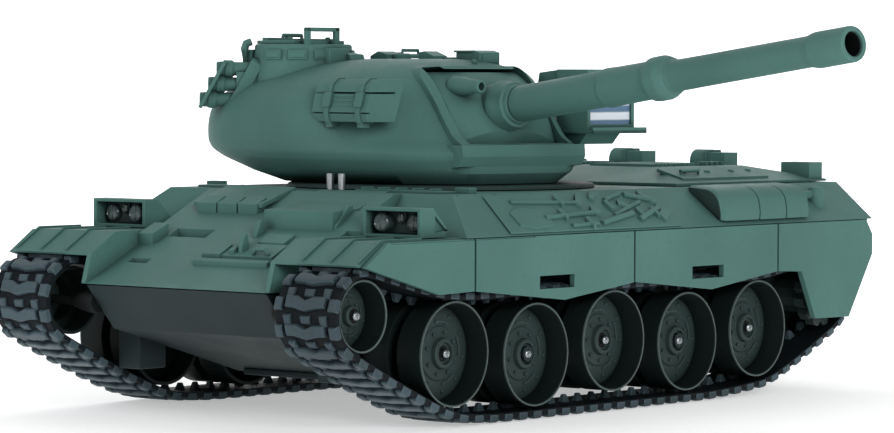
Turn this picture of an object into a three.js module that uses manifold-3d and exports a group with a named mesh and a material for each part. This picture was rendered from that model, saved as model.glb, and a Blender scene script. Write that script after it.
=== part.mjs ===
// Radio-controlled model tank, about 1/24 scale, built as separate named sub-parts.
// Millimetres. +X runs forward along the hull, +Y to the tank's left, +Z up.
// The origin is the centre of the flat belly plate, straight under the middle road wheels.
// The turret stands turned to the left and the gun slightly raised: that is the rest pose.
import * as THREE from "three";
import { mergeVertices } from "three/addons/utils/BufferGeometryUtils.js";
import Module from "manifold-3d";

const wasm = await Module();
wasm.setup();

// ---- driving dimensions --------------------------------------------------------------------
const GAP = 0.3; // air between neighbouring pieces
const WALL = 2.2; // wall of the moulded shells

const HULL = {
  noseX: 128.3,
  noseZ: 31.3, // lower edge of the sloping bow plate, and the seam between the two hull shells
  bowSlope: 0.487, // rise of the bow plate for each millimetre back
  deckZ: 59.7,
  deckHalf: 60, // half width of the flat deck
  sideY: 75.3, // outer face of the skirts
  shelfZ: 47.2, // top of the skirts and of the track guards
  tubHalf: 38, // half width of the lower tub
  bowHalf: 39.3,
  rearX: -145,
};
const DECK = { frontX: -54, topFrontX: -69, topRearX: -112, topZ: 66, half: 57, topHalf: 40 };
const WHEEL = { radius: 16.1, pitch: 40, faceY: 72.2, innerY: 49, dish: 13.9, z: 12, dropZ: 9.75 };
const AXLE = { radius: 1.5, headRadius: 2.5 };
const ARM = { reach: 14, pivotZ: 16, radius: 2 };
const IDLER = { x: 121.8, z: 25.4, radius: 10.8 };
const SPROCKET = { x: -121, z: 22, radius: 11.4, teeth: 12 };
const TRACK = { innerY: 48, outerY: 72.6, band: 1.6, pad: 1.4, pitch: 7.2 };
const GROUND = -10.6; // the level the tracks stand on

const TURRET = { yaw: 80, ringRadius: 51, spigotRadius: 45.5, seatZ: 60 };
const GUN = {
  trunnionU: 0,
  trunnionZ: 66,
  shieldRadius: 37.4, // at the middle
  shieldSideRadius: 34.2,
  shieldHalf: 20.8,
  rootU: 34.9,
  rootZ: 86.8,
  elevation: 7.3,
  length: 153.5, // from the root ring to the muzzle face
  boreRadius: 3.8,
};
const CUPOLA = { u: -42, v: -25, radius: 16, topZ: 106.6 };
const LOADER_HATCH = { u: -34, v: 15, radius: 9.5, seatZ: 102 };
const DISCHARGER = { u: -51, v: -45, z: 93.4, turn: 232 };
const BATTERY_DOOR = { x0: -72, x1: -10, half: 20 };
const SWITCH = { x0: 22, x1: 28, slot: 7 };

// ---- materials -----------------------------------------------------------------------------
function material(color, roughness, metalness) {
  return new THREE.MeshStandardMaterial({ color, roughness, metalness });
}
const green = material(0x557e77, 0.55, 0);
const darkGreen = material(0x3a4545, 0.6, 0);
const wheelGreen = material(0x3f504e, 0.5, 0);
const trackRubber = material(0x2e3a40, 0.7, 0);
const blackPlastic = material(0x1d2021, 0.5, 0);
const steel = material(0xb9bec0, 0.3, 1);
const lampGlass = material(0xc9dcec, 0.1, 0);
const cellWrap = material(0x2c5f8a, 0.4, 0);
const boardGreen = material(0x1f5a3a, 0.5, 0);

// ---- geometry helpers ----------------------------------------------------------------------
const group = new THREE.Group();

// A closed three.js geometry as a manifold solid.
function solid(geometry) {
  const bare = geometry.index ? geometry.toNonIndexed() : geometry.clone();
  bare.deleteAttribute("normal");
  bare.deleteAttribute("uv");
  const merged = mergeVertices(bare, 1e-4);
  return new wasm.Manifold(
    new wasm.Mesh({
      numProp: 3,
      vertProperties: new Float32Array(merged.attributes.position.array),
      triVerts: new Uint32Array(merged.index.array),
    }),
  );
}

// A manifold solid as a three.js geometry with flat faces.
function geometryOf(shape) {
  const mesh = shape.getMesh();
  const count = mesh.numProp;
  const corners = new Float32Array(mesh.numVert * 3);
  for (let i = 0; i < mesh.numVert; i += 1) {
    corners.set(mesh.vertProperties.subarray(i * count, i * count + 3), i * 3);
  }
  const geometry = new THREE.BufferGeometry();
  geometry.setAttribute("position", new THREE.BufferAttribute(corners, 3));
  geometry.setIndex(new THREE.BufferAttribute(new Uint32Array(mesh.triVerts), 1));
  geometry.computeVertexNormals();
  return geometry;
}

function addPiece(parent, name, shape, look) {
  const mesh = new THREE.Mesh(geometryOf(shape), look);
  mesh.name = name;
  parent.add(mesh);
  return mesh;
}

function join(...shapes) {
  return shapes.reduce((whole, shape) => whole.add(shape));
}

function cut(shape, ...tools) {
  return tools.reduce((left, tool) => left.subtract(tool), shape);
}

function box(x0, x1, y0, y1, z0, z1) {
  const geometry = new THREE.BoxGeometry(x1 - x0, y1 - y0, z1 - z0);
  geometry.translate((x0 + x1) / 2, (y0 + y1) / 2, (z0 + z1) / 2);
  return solid(geometry);
}

function shapeOf(points) {
  return new THREE.Shape(points.map(([a, b]) => new THREE.Vector2(a, b)));
}

// A flat outline extruded without bevels, along +Z.
function extrude(outline, depth) {
  return new THREE.ExtrudeGeometry(outline, { depth, bevelEnabled: false, curveSegments: 8 });
}

// An outline in X and Z, extruded from y0 to y1.
function prismY(points, y0, y1) {
  const outline = points instanceof THREE.Shape ? points : shapeOf(points);
  const geometry = extrude(outline, y1 - y0);
  geometry.rotateX(Math.PI / 2);
  geometry.translate(0, y1, 0);
  return solid(geometry);
}

// An outline in Y and Z, extruded from x0 to x1.
function prismX(points, x0, x1) {
  const geometry = extrude(shapeOf(points), x1 - x0);
  geometry.rotateX(Math.PI / 2);
  geometry.rotateZ(Math.PI / 2);
  geometry.translate(x0, 0, 0);
  return solid(geometry);
}

// A solid of revolution about the Z axis from [radius, height] pairs that start and end on it.
function lathe(profile, segments = 24) {
  const points = profile.map(([r, z]) => new THREE.Vector2(r, z));
  const geometry = new THREE.LatheGeometry(points, segments);
  geometry.rotateX(Math.PI / 2);
  return geometry;
}

// The same about a line along Y through (x, z); the profile's height is y.
function latheY(profile, x, z, segments = 24) {
  const geometry = lathe(profile, segments);
  geometry.rotateX(-Math.PI / 2);
  geometry.translate(x, 0, z);
  return solid(geometry);
}

function rodY(radius, y0, y1, x, z, segments = 16) {
  return latheY([[0, y0], [radius, y0], [radius, y1], [0, y1]], x, z, segments);
}

function rodZ(radius, z0, z1, x, y, segments = 24) {
  const geometry = lathe([[0, z0], [radius, z0], [radius, z1], [0, z1]], segments);
  geometry.translate(x, y, 0);
  return solid(geometry);
}

// A closed skin through rings of points that all have the same count, with flat end caps.
function loft(rings) {
  const corners = [];
  const faces = [];
  const count = rings[0].length;
  rings.forEach((ring) => ring.forEach((p) => corners.push(...p)));
  for (let level = 0; level + 1 < rings.length; level += 1) {
    for (let i = 0; i < count; i += 1) {
      const j = (i + 1) % count;
      const low = level * count;
      const high = low + count;
      faces.push(low + i, low + j, high + j);
      faces.push(low + i, high + j, high + i);
    }
  }
  [0, rings.length - 1].forEach((level) => {
    const first = level * count;
    const outline = rings[level].map(([x, y]) => new THREE.Vector2(x, y));
    THREE.ShapeUtils.triangulateShape(outline, []).forEach(([a, b, c]) => {
      const face = level === 0 ? [c, b, a] : [a, b, c];
      faces.push(...face.map((k) => k + first));
    });
  });
  const geometry = new THREE.BufferGeometry();
  geometry.setAttribute("position", new THREE.Float32BufferAttribute(corners, 3));
  geometry.setIndex(faces);
  return solid(geometry);
}

function rectangle(x0, x1, y0, y1, z) {
  return [[x0, y0, z], [x1, y0, z], [x1, y1, z], [x0, y1, z]];
}

// ---- hull shells ---------------------------------------------------------------------------
const bowTopX = HULL.noseX - (HULL.deckZ - HULL.noseZ) / HULL.bowSlope;

function bowZ(x) {
  return HULL.noseZ + (HULL.noseX - x) * HULL.bowSlope;
}

// The upper shell: bow plate, deck, sloping sides and the guards over the tracks.
function upperHull() {
  const rear = HULL.rearX;
  const seam = HULL.noseZ;
  const bow = [
    [HULL.noseX, seam], [bowTopX, HULL.deckZ], [rear, HULL.deckZ], [rear, seam],
  ];
  const bowInside = [
    [HULL.noseX - 6, seam - 1], [bowTopX - 2, HULL.deckZ - WALL],
    [rear + WALL, HULL.deckZ - WALL], [rear + WALL, seam - 1],
  ];
  const side = HULL.sideY;
  const sponson = [
    [-side, HULL.shelfZ], [side, HULL.shelfZ], [HULL.deckHalf, HULL.deckZ],
    [-HULL.deckHalf, HULL.deckZ],
  ];
  const sponsonInside = [
    [WALL - side + 1.5, HULL.shelfZ - 3], [side - WALL - 1.5, HULL.shelfZ - 3],
    [side - WALL - 1.5, HULL.shelfZ], [HULL.deckHalf - 1.2, HULL.deckZ - WALL],
    [1.2 - HULL.deckHalf, HULL.deckZ - WALL], [WALL - side + 1.5, HULL.shelfZ],
  ];
  const sponsonFront = bowTopX + 8;
  const bevel = prismY(
    [[sponsonFront, 40], [sponsonFront, HULL.shelfZ], [bowTopX - 3, 62], [sponsonFront + 9, 62],
      [sponsonFront + 9, 40]],
    -side - 1, side + 1,
  );
  const guard = [
    [rear, HULL.shelfZ - 1.8], [112, HULL.shelfZ - 1.8], [124.4, 40.3], [125.3, 39.9],
    [125.6, 40.5], [114.5, HULL.shelfZ], [rear, HULL.shelfZ],
  ];
  const body = join(
    prismY(bow, -HULL.bowHalf, HULL.bowHalf),
    cut(prismX(sponson, rear, sponsonFront), bevel),
    prismY(guard, 2 + GAP - side, side - 2 - GAP),
  );
  const hollow = join(
    prismY(bowInside, WALL - HULL.bowHalf, HULL.bowHalf - WALL),
    prismX(sponsonInside, rear + WALL, bowTopX - 6),
  );
  const shelves = [-1, 1].map((s) => {
    const [low, high] = [s * (HULL.tubHalf - 0.5), s * (side - 3)].sort((a, b) => a - b);
    return box(rear + 1, sponsonFront - 12, low, high, HULL.shelfZ - 1.8, HULL.shelfZ);
  });
  // The guards stop at the bow, so the bow plate runs down between them.
  const bowWindow = prismY(
    [[HULL.noseX + 4, 30], [HULL.noseX + 4, 60], [bowTopX, HULL.deckZ + 0.01], [HULL.noseX, seam]],
    -HULL.bowHalf, HULL.bowHalf,
  );
  const belowSeam = box(rear - 1, HULL.noseX + 1, -side - 1, side + 1, 20, seam);
  const ringHole = rodZ(TURRET.spigotRadius + 0.6, 50, 64, 0, 0, 40);
  const shell = cut(join(cut(body, hollow), ...shelves), bowWindow, belowSeam, ringHole);
  return join(shell, ...bowFittings());
}

// The moulded details of the bow: the driver's hood, the tow hook cover, vision blocks and ribs.
function bowFittings() {
  const hoodX = 92;
  const hood = prismY(
    [[hoodX, bowZ(hoodX) - 1.5], [hoodX, 54.3], [81, 54.8], [81, bowZ(81) - 1.5]], 5, 33,
  );
  const strip = (x, y0, y1, rise, length) => prismY(
    [[x, bowZ(x) - 1], [x, bowZ(x) + rise], [x - length, bowZ(x - length) + rise],
      [x - length, bowZ(x - length) - 1]],
    y0, y1,
  );
  const towCover = strip(112, -2, 12, 1, 8);
  const hook = box(107.5, 109.5, 4, 6, bowZ(109), bowZ(109) + 4.5);
  const splash = strip(117.5, -8, 16, 1.8, 1.8);
  const hoodRib = strip(96, 1.5, 3, 5, 3);
  const blocks = [-26, -18.5, -11].map((y) => strip(76, y, y + 6.8, 2, 6));
  const fenderRibs = [];
  [-1, 1].forEach((s) => {
    [50, 61].forEach((y) => {
      const [low, high] = [s * y, s * (y + 1.2)].sort((a, b) => a - b);
      fenderRibs.push(prismY(
        [[123.6, 41], [114.4, 47], [97, 47], [97, 47.8], [114.8, 47.8], [123.9, 42]], low, high,
      ));
    });
  });
  return [hood, towCover, hook, splash, hoodRib, ...blocks, ...fenderRibs];
}

// The lower tub with its sloping bow, fixed axles, shaft holes and the well of the battery door.
function lowerHull() {
  const top = HULL.noseZ - GAP;
  const outline = [
    [HULL.noseX - 0.6, top], [115.6, 16.7], [76, 5.3], [58, 0], [-118, 0], [-138, 12],
    [HULL.rearX + 1.5, top],
  ];
  const inside = [
    [HULL.noseX - 6, top + 1], [113.5, 19], [75, 7.6], [57, WALL], [-117, WALL], [-136, 13.5],
    [HULL.rearX + 4, top + 1],
  ];
  const half = HULL.tubHalf;
  let tub = cut(
    prismY(outline, -half, half),
    prismY(inside, WALL - half, half - WALL),
  );
  const fixed = [-2, 0, 2].map((n) => ({ x: n * WHEEL.pitch, z: wheelZ(n), end: 66.6 }));
  fixed.push({ x: IDLER.x, z: IDLER.z, end: 66.6 });
  [-1, 1].forEach((s) => {
    fixed.forEach(({ x, z, end }) => {
      tub = join(tub, axle(x, z, s, half - 1, end));
    });
    const [low, high] = [s * (half - 4), s * (half + 2)].sort((a, b) => a - b);
    tub = cut(tub, rodY(2.6, low, high, SPROCKET.x, SPROCKET.z));
    [-1, 1].forEach((n) => {
      const pivotX = n * WHEEL.pitch + ARM.reach;
      tub = cut(tub, rodY(ARM.radius + GAP, low, high, pivotX, ARM.pivotZ));
    });
  });
  const door = BATTERY_DOOR;
  return cut(
    tub,
    box(door.x0 - GAP, door.x1 + GAP, -door.half - GAP, door.half + GAP, -1, WALL + 1),
    box(SWITCH.x0, SWITCH.x1, -SWITCH.slot, SWITCH.slot, -1, WALL + 1),
  );
}

function wheelZ(n) {
  return Math.abs(n) === 1 ? WHEEL.dropZ : WHEEL.z;
}

// A fixed axle with its screw head, reaching out to the side s.
function axle(x, z, s, from, end) {
  const sorted = (a, b) => [s * a, s * b].sort((p, q) => p - q);
  const [low, high] = sorted(from, end + 0.5);
  const [headLow, headHigh] = sorted(end, end + 2.2);
  return join(
    rodY(AXLE.radius, low, high, x, z, 8),
    rodY(AXLE.headRadius, headLow, headHigh, x, z, 8),
  );
}

// ---- pieces that repeat on both sides --------------------------------------------------------
// Each is made for the left side; the right side's mesh is mirrored.
function skirt() {
  const crest = 31;
  const dip = 26.5;
  const outline = shapeOf([
    [125, 39.9], [90.9, 30.6], [74.1, crest], [29.6, dip], [-7.3, 30.6], [-49.3, dip],
    [-87, crest], [-101.6, 30.4], [-110, 14], [-130.5, 13.7], [HULL.rearX, 35],
    [HULL.rearX, 41.8], [-141.2, HULL.shelfZ - GAP], [114.5, HULL.shelfZ - GAP],
  ]);
  const slotLength = 17.5;
  [24.5, -56.3].forEach((x) => {
    outline.holes.push(new THREE.Path([
      new THREE.Vector2(x, 30.3), new THREE.Vector2(x + slotLength, 30.3),
      new THREE.Vector2(x + slotLength, 34.3), new THREE.Vector2(x, 34.3),
    ]));
  });
  let plate = prismY(outline, HULL.sideY - 2, HULL.sideY);
  // engraved joints between the skirt panels, with a pair of bolts at each end
  [74.1, -7.3, -87].forEach((x) => {
    plate = cut(plate, box(x - 0.4, x + 0.4, HULL.sideY - 0.6, HULL.sideY + 1, 20, 50));
  });
  return plate;
}

function wheel(x, z, radius, dish, faceY, innerY) {
  const bore = AXLE.radius + GAP;
  const profile = [
    [bore, innerY + 2], [dish, innerY + 3], [dish, innerY], [radius, innerY], [radius, faceY],
    [dish, faceY], [dish - 0.6, faceY - 4.5], [bore, faceY - 6.2], [bore, innerY + 2],
  ];
  return latheY(profile, x, z, 18);
}

// The sprocket: two toothed discs on a hub, with the shaft that goes into the gearbox.
function sprocket() {
  const outline = new THREE.Shape();
  const step = (2 * Math.PI) / SPROCKET.teeth;
  const at = (angle, r) => [
    SPROCKET.x + r * Math.cos(angle), SPROCKET.z + r * Math.sin(angle),
  ];
  for (let i = 0; i < SPROCKET.teeth; i += 1) {
    const start = i * step;
    if (i === 0) outline.moveTo(...at(0, SPROCKET.radius - 1.8));
    else outline.lineTo(...at(start, SPROCKET.radius - 1.8));
    outline.lineTo(...at(start + step * 0.3, SPROCKET.radius));
    outline.lineTo(...at(start + step * 0.7, SPROCKET.radius));
  }
  return join(
    prismY(outline, 50.5, 54),
    prismY(outline, 66.5, 70),
    rodY(7, 49.5, 71, SPROCKET.x, SPROCKET.z, 14),
    rodY(2.2, 28, 50, SPROCKET.x, SPROCKET.z, 12),
  );
}

// A trailing arm: pivot pin in the tub's side, the arm, and the wheel's axle at its end.
function swingArm(n) {
  const x = n * WHEEL.pitch;
  const z = WHEEL.dropZ;
  const pivotX = x + ARM.reach;
  const y0 = HULL.tubHalf + GAP;
  const along = Math.atan2(ARM.pivotZ - z, ARM.reach);
  const length = Math.hypot(ARM.pivotZ - z, ARM.reach);
  const bar = new THREE.BoxGeometry(length, 3.4, 5);
  bar.rotateY(-along);
  bar.translate((x + pivotX) / 2, y0 + 1.7, (z + ARM.pivotZ) / 2);
  return join(
    solid(bar),
    rodY(3.4, y0, y0 + 3.4, pivotX, ARM.pivotZ, 10),
    rodY(3.4, y0, y0 + 3.4, x, z, 10),
    rodY(ARM.radius, HULL.tubHalf - 3.5, y0 + 1, pivotX, ARM.pivotZ, 10),
    axle(x, z, 1, y0 + 1, 66.6),
  );
}

// ---- tracks ----------------------------------------------------------------------------------
// The inner face of the belt: a smooth closed path that runs forward along the ground.
function trackPath() {
  const bottom = GROUND + TRACK.band + TRACK.pad;
  const slack = 0.7; // the chords of the links stay this far off the wheels
  const topZ = WHEEL.z + WHEEL.radius + GAP;
  const circle = (centre, radius, from, to, steps) => {
    const points = [];
    for (let i = 0; i <= steps; i += 1) {
      const a = THREE.MathUtils.degToRad(from + ((to - from) * i) / steps);
      points.push([centre.x + radius * Math.cos(a), centre.z + radius * Math.sin(a)]);
    }
    return points;
  };
  const corners = [
    [-50, bottom], [-44, bottom], [0, bottom], [44, bottom], [50, bottom], [66, bottom + 0.4],
    [80, bottom + 2.2],
    ...circle(IDLER, IDLER.radius + slack, -64, 96, 14),
    [84, topZ + 0.4], [40, topZ], [0, topZ], [-40, topZ], [-82, topZ],
    ...circle(SPROCKET, SPROCKET.radius + slack, 84, 246, 14),
    [-88, bottom + 3.2], [-74, bottom + 1.3],
  ].map(([x, z]) => new THREE.Vector3(x, 0, z));
  const curve = new THREE.CatmullRomCurve3(corners, true, "centripetal");
  curve.arcLengthDivisions = 2000;
  return curve;
}

// One belt: a closed band with a raised pad on every link and a groove between the pads.
function track() {
  const curve = trackPath();
  const links = Math.round(curve.getLength() / TRACK.pitch);
  const place = (t, offset) => {
    const p = curve.getPointAt(t);
    const d = curve.getTangentAt(t);
    return [p.x + d.z * offset, p.z - d.x * offset];
  };
  const corners = [];
  const faces = [];
  const perLink = 4;
  for (let i = 0; i < links; i += 1) {
    const at = (share) => (i + share) / links;
    const section = [
      place(at(0), 0), place(at(0), TRACK.band),
      place(at(0.14), TRACK.band + TRACK.pad), place(at(0.86), TRACK.band + TRACK.pad),
    ];
    section.forEach(([x, z]) => corners.push(x, TRACK.innerY, z, x, TRACK.outerY, z));
    const here = i * perLink;
    const next = ((i + 1) % links) * perLink;
    const [a, b, c, d, e, f] = [here, here + 1, here + 2, here + 3, next + 1, next];
    [[a, b, c], [a, c, d], [a, d, f], [d, e, f]].forEach(([p, q, r]) => {
      faces.push(2 * p, 2 * q, 2 * r);
      faces.push(2 * p + 1, 2 * r + 1, 2 * q + 1);
    });
    [[b, c], [c, d], [d, e], [f, a]].forEach(([p, q]) => {
      faces.push(2 * p, 2 * q + 1, 2 * q);
      faces.push(2 * p, 2 * p + 1, 2 * q + 1);
    });
  }
  const geometry = new THREE.BufferGeometry();
  geometry.setAttribute("position", new THREE.Float32BufferAttribute(corners, 3));
  geometry.setIndex(faces);
  return solid(geometry);
}

// ---- side fittings -----------------------------------------------------------------------------
const sideSlope = (HULL.deckZ - HULL.shelfZ) / (HULL.sideY - HULL.deckHalf);

// Height of the sloping side at a distance y from the centre plane.
function slopeZ(y) {
  return HULL.shelfZ + (HULL.sideY - y) * sideSlope;
}

// The plate with moulded pioneer tools that lies on the sloping side.
function toolPanel() {
  const lift = GAP + 1;
  const outer = 74.6;
  const inner = 61.5;
  const skin = (y0, y1, low, high) => [
    [y0, slopeZ(y0) + low], [y1, slopeZ(y1) + low], [y1, slopeZ(y1) + high],
    [y0, slopeZ(y0) + high],
  ];
  const plate = prismX(skin(inner, outer, GAP, lift), -33, 52);
  const handles = [
    [70.6, 72.2, -18, 30], [66.4, 68, -26, 14], [63.2, 64.6, 4, 44],
  ].map(([y0, y1, x0, x1]) => prismX(skin(y0, y1, lift - 0.2, lift + 1.3), x0, x1));
  const heads = [
    [68.6, 73.6, 30, 43], [64.8, 70, -31, -24], [62.2, 67.6, 44, 50], [69.6, 73.4, -29, -20],
  ].map(([y0, y1, x0, x1]) => prismX(skin(y0, y1, lift - 0.2, lift + 1.7), x0, x1));
  return join(plate, ...handles, ...heads);
}

// The rounded bin behind it, in three ribbed lengths, with a sloping open front.
function stowageBin() {
  const y1 = HULL.sideY - 0.4;
  const profile = (grow) => {
    const points = [[y1 + grow - 0.4, slopeZ(y1) + GAP + 0.6]];
    for (let i = 0; i <= 5; i += 1) {
      const a = (i * Math.PI) / 10;
      points.push([y1 - 7.4 + (7 + grow) * Math.cos(a), 53.4 + (6.6 + grow) * Math.sin(a)]);
    }
    points.push([61.5, 60.2 + grow]);
    points.push([61.5, slopeZ(61.5) + GAP]);
    return points;
  };
  const body = prismX(profile(0), -108, -54);
  const ribs = [-74.5, -91].map((x) => prismX(profile(0.35), x - 0.7, x + 0.7));
  const mouth = prismX([[71.8, 51.6], [71.8, 55.6], [63.4, 59], [63.4, 58.8]], -58, -50);
  return cut(join(body, ...ribs), mouth);
}

function headlightGuard() {
  const profile = [
    [93, HULL.shelfZ + GAP], [93, 56.6], [87, 56.6], [80.5, HULL.shelfZ + 3],
    [80.5, HULL.shelfZ + GAP],
  ];
  return cut(
    prismY(profile, 46, 69.4),
    box(87.5, 94, 47.6, 67.8, 48.5, 55.4),
  );
}

function headlamps() {
  const lampX = 90.6;
  const plate = box(87.8, 88.8, 48, 67.4, 48.9, 55);
  const disc = (radius, y, z, depth) => {
    const geometry = lathe([[0, 0], [radius, 0], [radius, depth], [0, depth]], 20);
    geometry.rotateY(Math.PI / 2);
    geometry.translate(lampX - 2.4, y, z);
    return solid(geometry);
  };
  return join(plate, disc(2.9, 52, 51.9, 3.2), disc(1.7, 58.4, 53, 2), disc(2.7, 63.8, 51.9, 1.6));
}

// ---- rear deck -----------------------------------------------------------------------------
function engineDeck() {
  const base = HULL.deckZ + GAP;
  const rear = HULL.rearX + 2;
  const cover = loft([
    rectangle(rear, DECK.frontX, -DECK.half, DECK.half, base),
    rectangle(rear, DECK.frontX, -DECK.half, DECK.half, base + 0.6),
    rectangle(DECK.topRearX, DECK.topFrontX, -DECK.topHalf, DECK.topHalf, DECK.topZ),
  ]);
  const grilles = [];
  [-1, 1].forEach((s) => {
    for (let i = 0; i < 6; i += 1) {
      const x = -72 - i * 6;
      const [low, high] = [s * 6, s * 34].sort((a, b) => a - b);
      grilles.push(box(x - 3.6, x, low, high, DECK.topZ - 0.2, DECK.topZ + 0.8));
    }
  });
  const vents = [-1, 1].map((s) => {
    const y = s * 18;
    const dome = new THREE.CylinderGeometry(4, 4, 3, 16);
    dome.rotateZ(Math.PI / 2);
    dome.translate(-128, y - 4, 66);
    return join(solid(dome), box(-130, -126, y, y + 8, 62.8, 69.6));
  });
  const tailBox = box(rear + 1, rear + 9, 44, 56, base, 66.8);
  return join(cover, ...grilles, ...vents, tailBox);
}

// ---- inside the hull ---------------------------------------------------------------------------
function gearbox() {
  const shaftZ = SPROCKET.z;
  return cut(
    prismY([[-130, 36], [-130, 16], [-120, 6], [-101, 6], [-101, 36]], -27, 27),
    rodY(2.2 + GAP, -40, 40, SPROCKET.x, shaftZ, 16),
  );
}

function driveMotor(s) {
  const [low, high] = [s * 3, s * 26].sort((a, b) => a - b);
  const can = rodY(9, low, high, -90, 17, 24);
  return can;
}

// ---- turret --------------------------------------------------------------------------------
// Turret pieces are made pointing forward along +X and turned together with their group.
const LEVELS = [
  // height, front, rear, half width: the outline of the cast shell from its foot to its roof
  [61.6, 37, -44, 43],
  [65, 40, -56.5, 49.8],
  [70, 40.6, -75, 54.5],
  [75.5, 34, -82.5, 55.5],
  [81, 29.4, -84, 55],
  [86.5, 25.6, -83, 53],
  [91.5, 22.2, -78, 48.5],
  [96, 19, -70, 41.5],
  [99.4, 15, -59, 33],
  [101.4, 9, -44, 23],
  [102, 2, -26, 11],
];
const OUTLINE_POINTS = 28;
const WIDEST_U = -18;

// The shell's outline at one level: blunt and broad behind, oval with a flat tip in front.
function turretOutline([z, front, rear, half], inset) {
  const points = [];
  for (let i = 0; i < OUTLINE_POINTS; i += 1) {
    const a = (2 * Math.PI * (i + 0.5)) / OUTLINE_POINTS;
    const c = Math.cos(a);
    const s = Math.sin(a);
    const power = c > 0 ? 1.1 : 0.68;
    const reach = c > 0 ? (front - WIDEST_U) * 1.12 - inset : WIDEST_U - rear - inset;
    const u = WIDEST_U + Math.sign(c) * reach * Math.abs(c) ** power;
    points.push([
      Math.min(u, front - inset), Math.sign(s) * (half - inset) * Math.abs(s) ** power, z,
    ]);
  }
  return points;
}

// The cast shell as a full solid, grown a little, to seat the fittings on it.
function turretBody(grow) {
  return loft(LEVELS.map(([z, ...rest]) => turretOutline([z + grow, ...rest], -grow)));
}

// The window in the turret's face, seen from the front, widened by a margin.
function faceWindow(margin, bottomZ, topZ) {
  const half = 21.3 + margin;
  const corner = 4;
  return prismX([
    [-half, bottomZ], [half, bottomZ], [half, topZ - corner], [half - corner, topZ],
    [corner - half, topZ], [-half, topZ - corner],
  ], 8, 80);
}

function turretShell() {
  const middleZ = 80;
  const levels = LEVELS.filter(([z]) => z < 100).map(
    ([z, ...rest]) => [middleZ + (z - middleZ) * 0.92, ...rest],
  );
  const foot = [60, ...levels[0].slice(1)];
  const inner = loft([foot, ...levels].map((level) => turretOutline(level, 2.4)));
  const rim = turretBody(1.5).intersect(faceWindow(3, 73.6, 101)).intersect(
    box(10.8, 80, -40, 40, 60, 110),
  );
  const chin = prismY(
    [[30, 66.4], [40.4, 67.4], [42, 70.6], [41.6, 74.2], [30, 74.2]], -26.4, 26.4,
  );
  const { u, v, radius } = LOADER_HATCH;
  const coaming = rodZ(radius + 0.9, 94, LOADER_HATCH.seatZ, u, v, 28);
  const shell = cut(join(turretBody(0), rim, chin, coaming), inner, faceWindow(0, 74.6, 98));
  return cut(shell, gunSweep(0.5, GUN.shieldHalf + 0.5));
}

// The space the gun shield moves through behind the opening.
function gunSweep(clearance, half) {
  const r = GUN.shieldRadius + clearance;
  const points = [];
  for (let i = 0; i <= 10; i += 1) {
    const a = THREE.MathUtils.degToRad(-4 + (i * 66) / 10);
    points.push([GUN.trunnionU + r * Math.cos(a), GUN.trunnionZ + r * Math.sin(a)]);
  }
  points.push([GUN.trunnionU, 85], [GUN.trunnionU, 62.4], [38, 62.4]);
  return prismY(points, -half, half);
}

function turretBase() {
  const ring = lathe([
    [24, 56.2], [TURRET.spigotRadius, 56.2], [TURRET.spigotRadius, TURRET.seatZ],
    [TURRET.ringRadius, TURRET.seatZ], [TURRET.ringRadius - 1, 61.3], [24, 61.3], [24, 56.2],
  ], 40);
  const brackets = [-1, 1].map((s) => {
    const [low, high] = [s * 23.6, s * 26.6].sort((a, b) => a - b);
    const [pinLow, pinHigh] = [s * 20, s * 30].sort((a, b) => a - b);
    const u = GUN.trunnionU;
    const plate = prismY([[u - 9, 60.5], [u + 9, 60.5], [u + 5, 70], [u - 5, 70]], low, high);
    return cut(plate, rodY(2.3, pinLow, pinHigh, GUN.trunnionU, GUN.trunnionZ, 16));
  });
  return join(solid(ring), ...brackets);
}

// ---- gun -----------------------------------------------------------------------------------
const elevation = THREE.MathUtils.degToRad(GUN.elevation);

// A geometry made along +Z, laid along the bore from the root ring.
function alongBore(geometry) {
  geometry.rotateY(Math.PI / 2 - elevation);
  geometry.translate(GUN.rootU, 0, GUN.rootZ);
  return solid(geometry);
}

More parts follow.
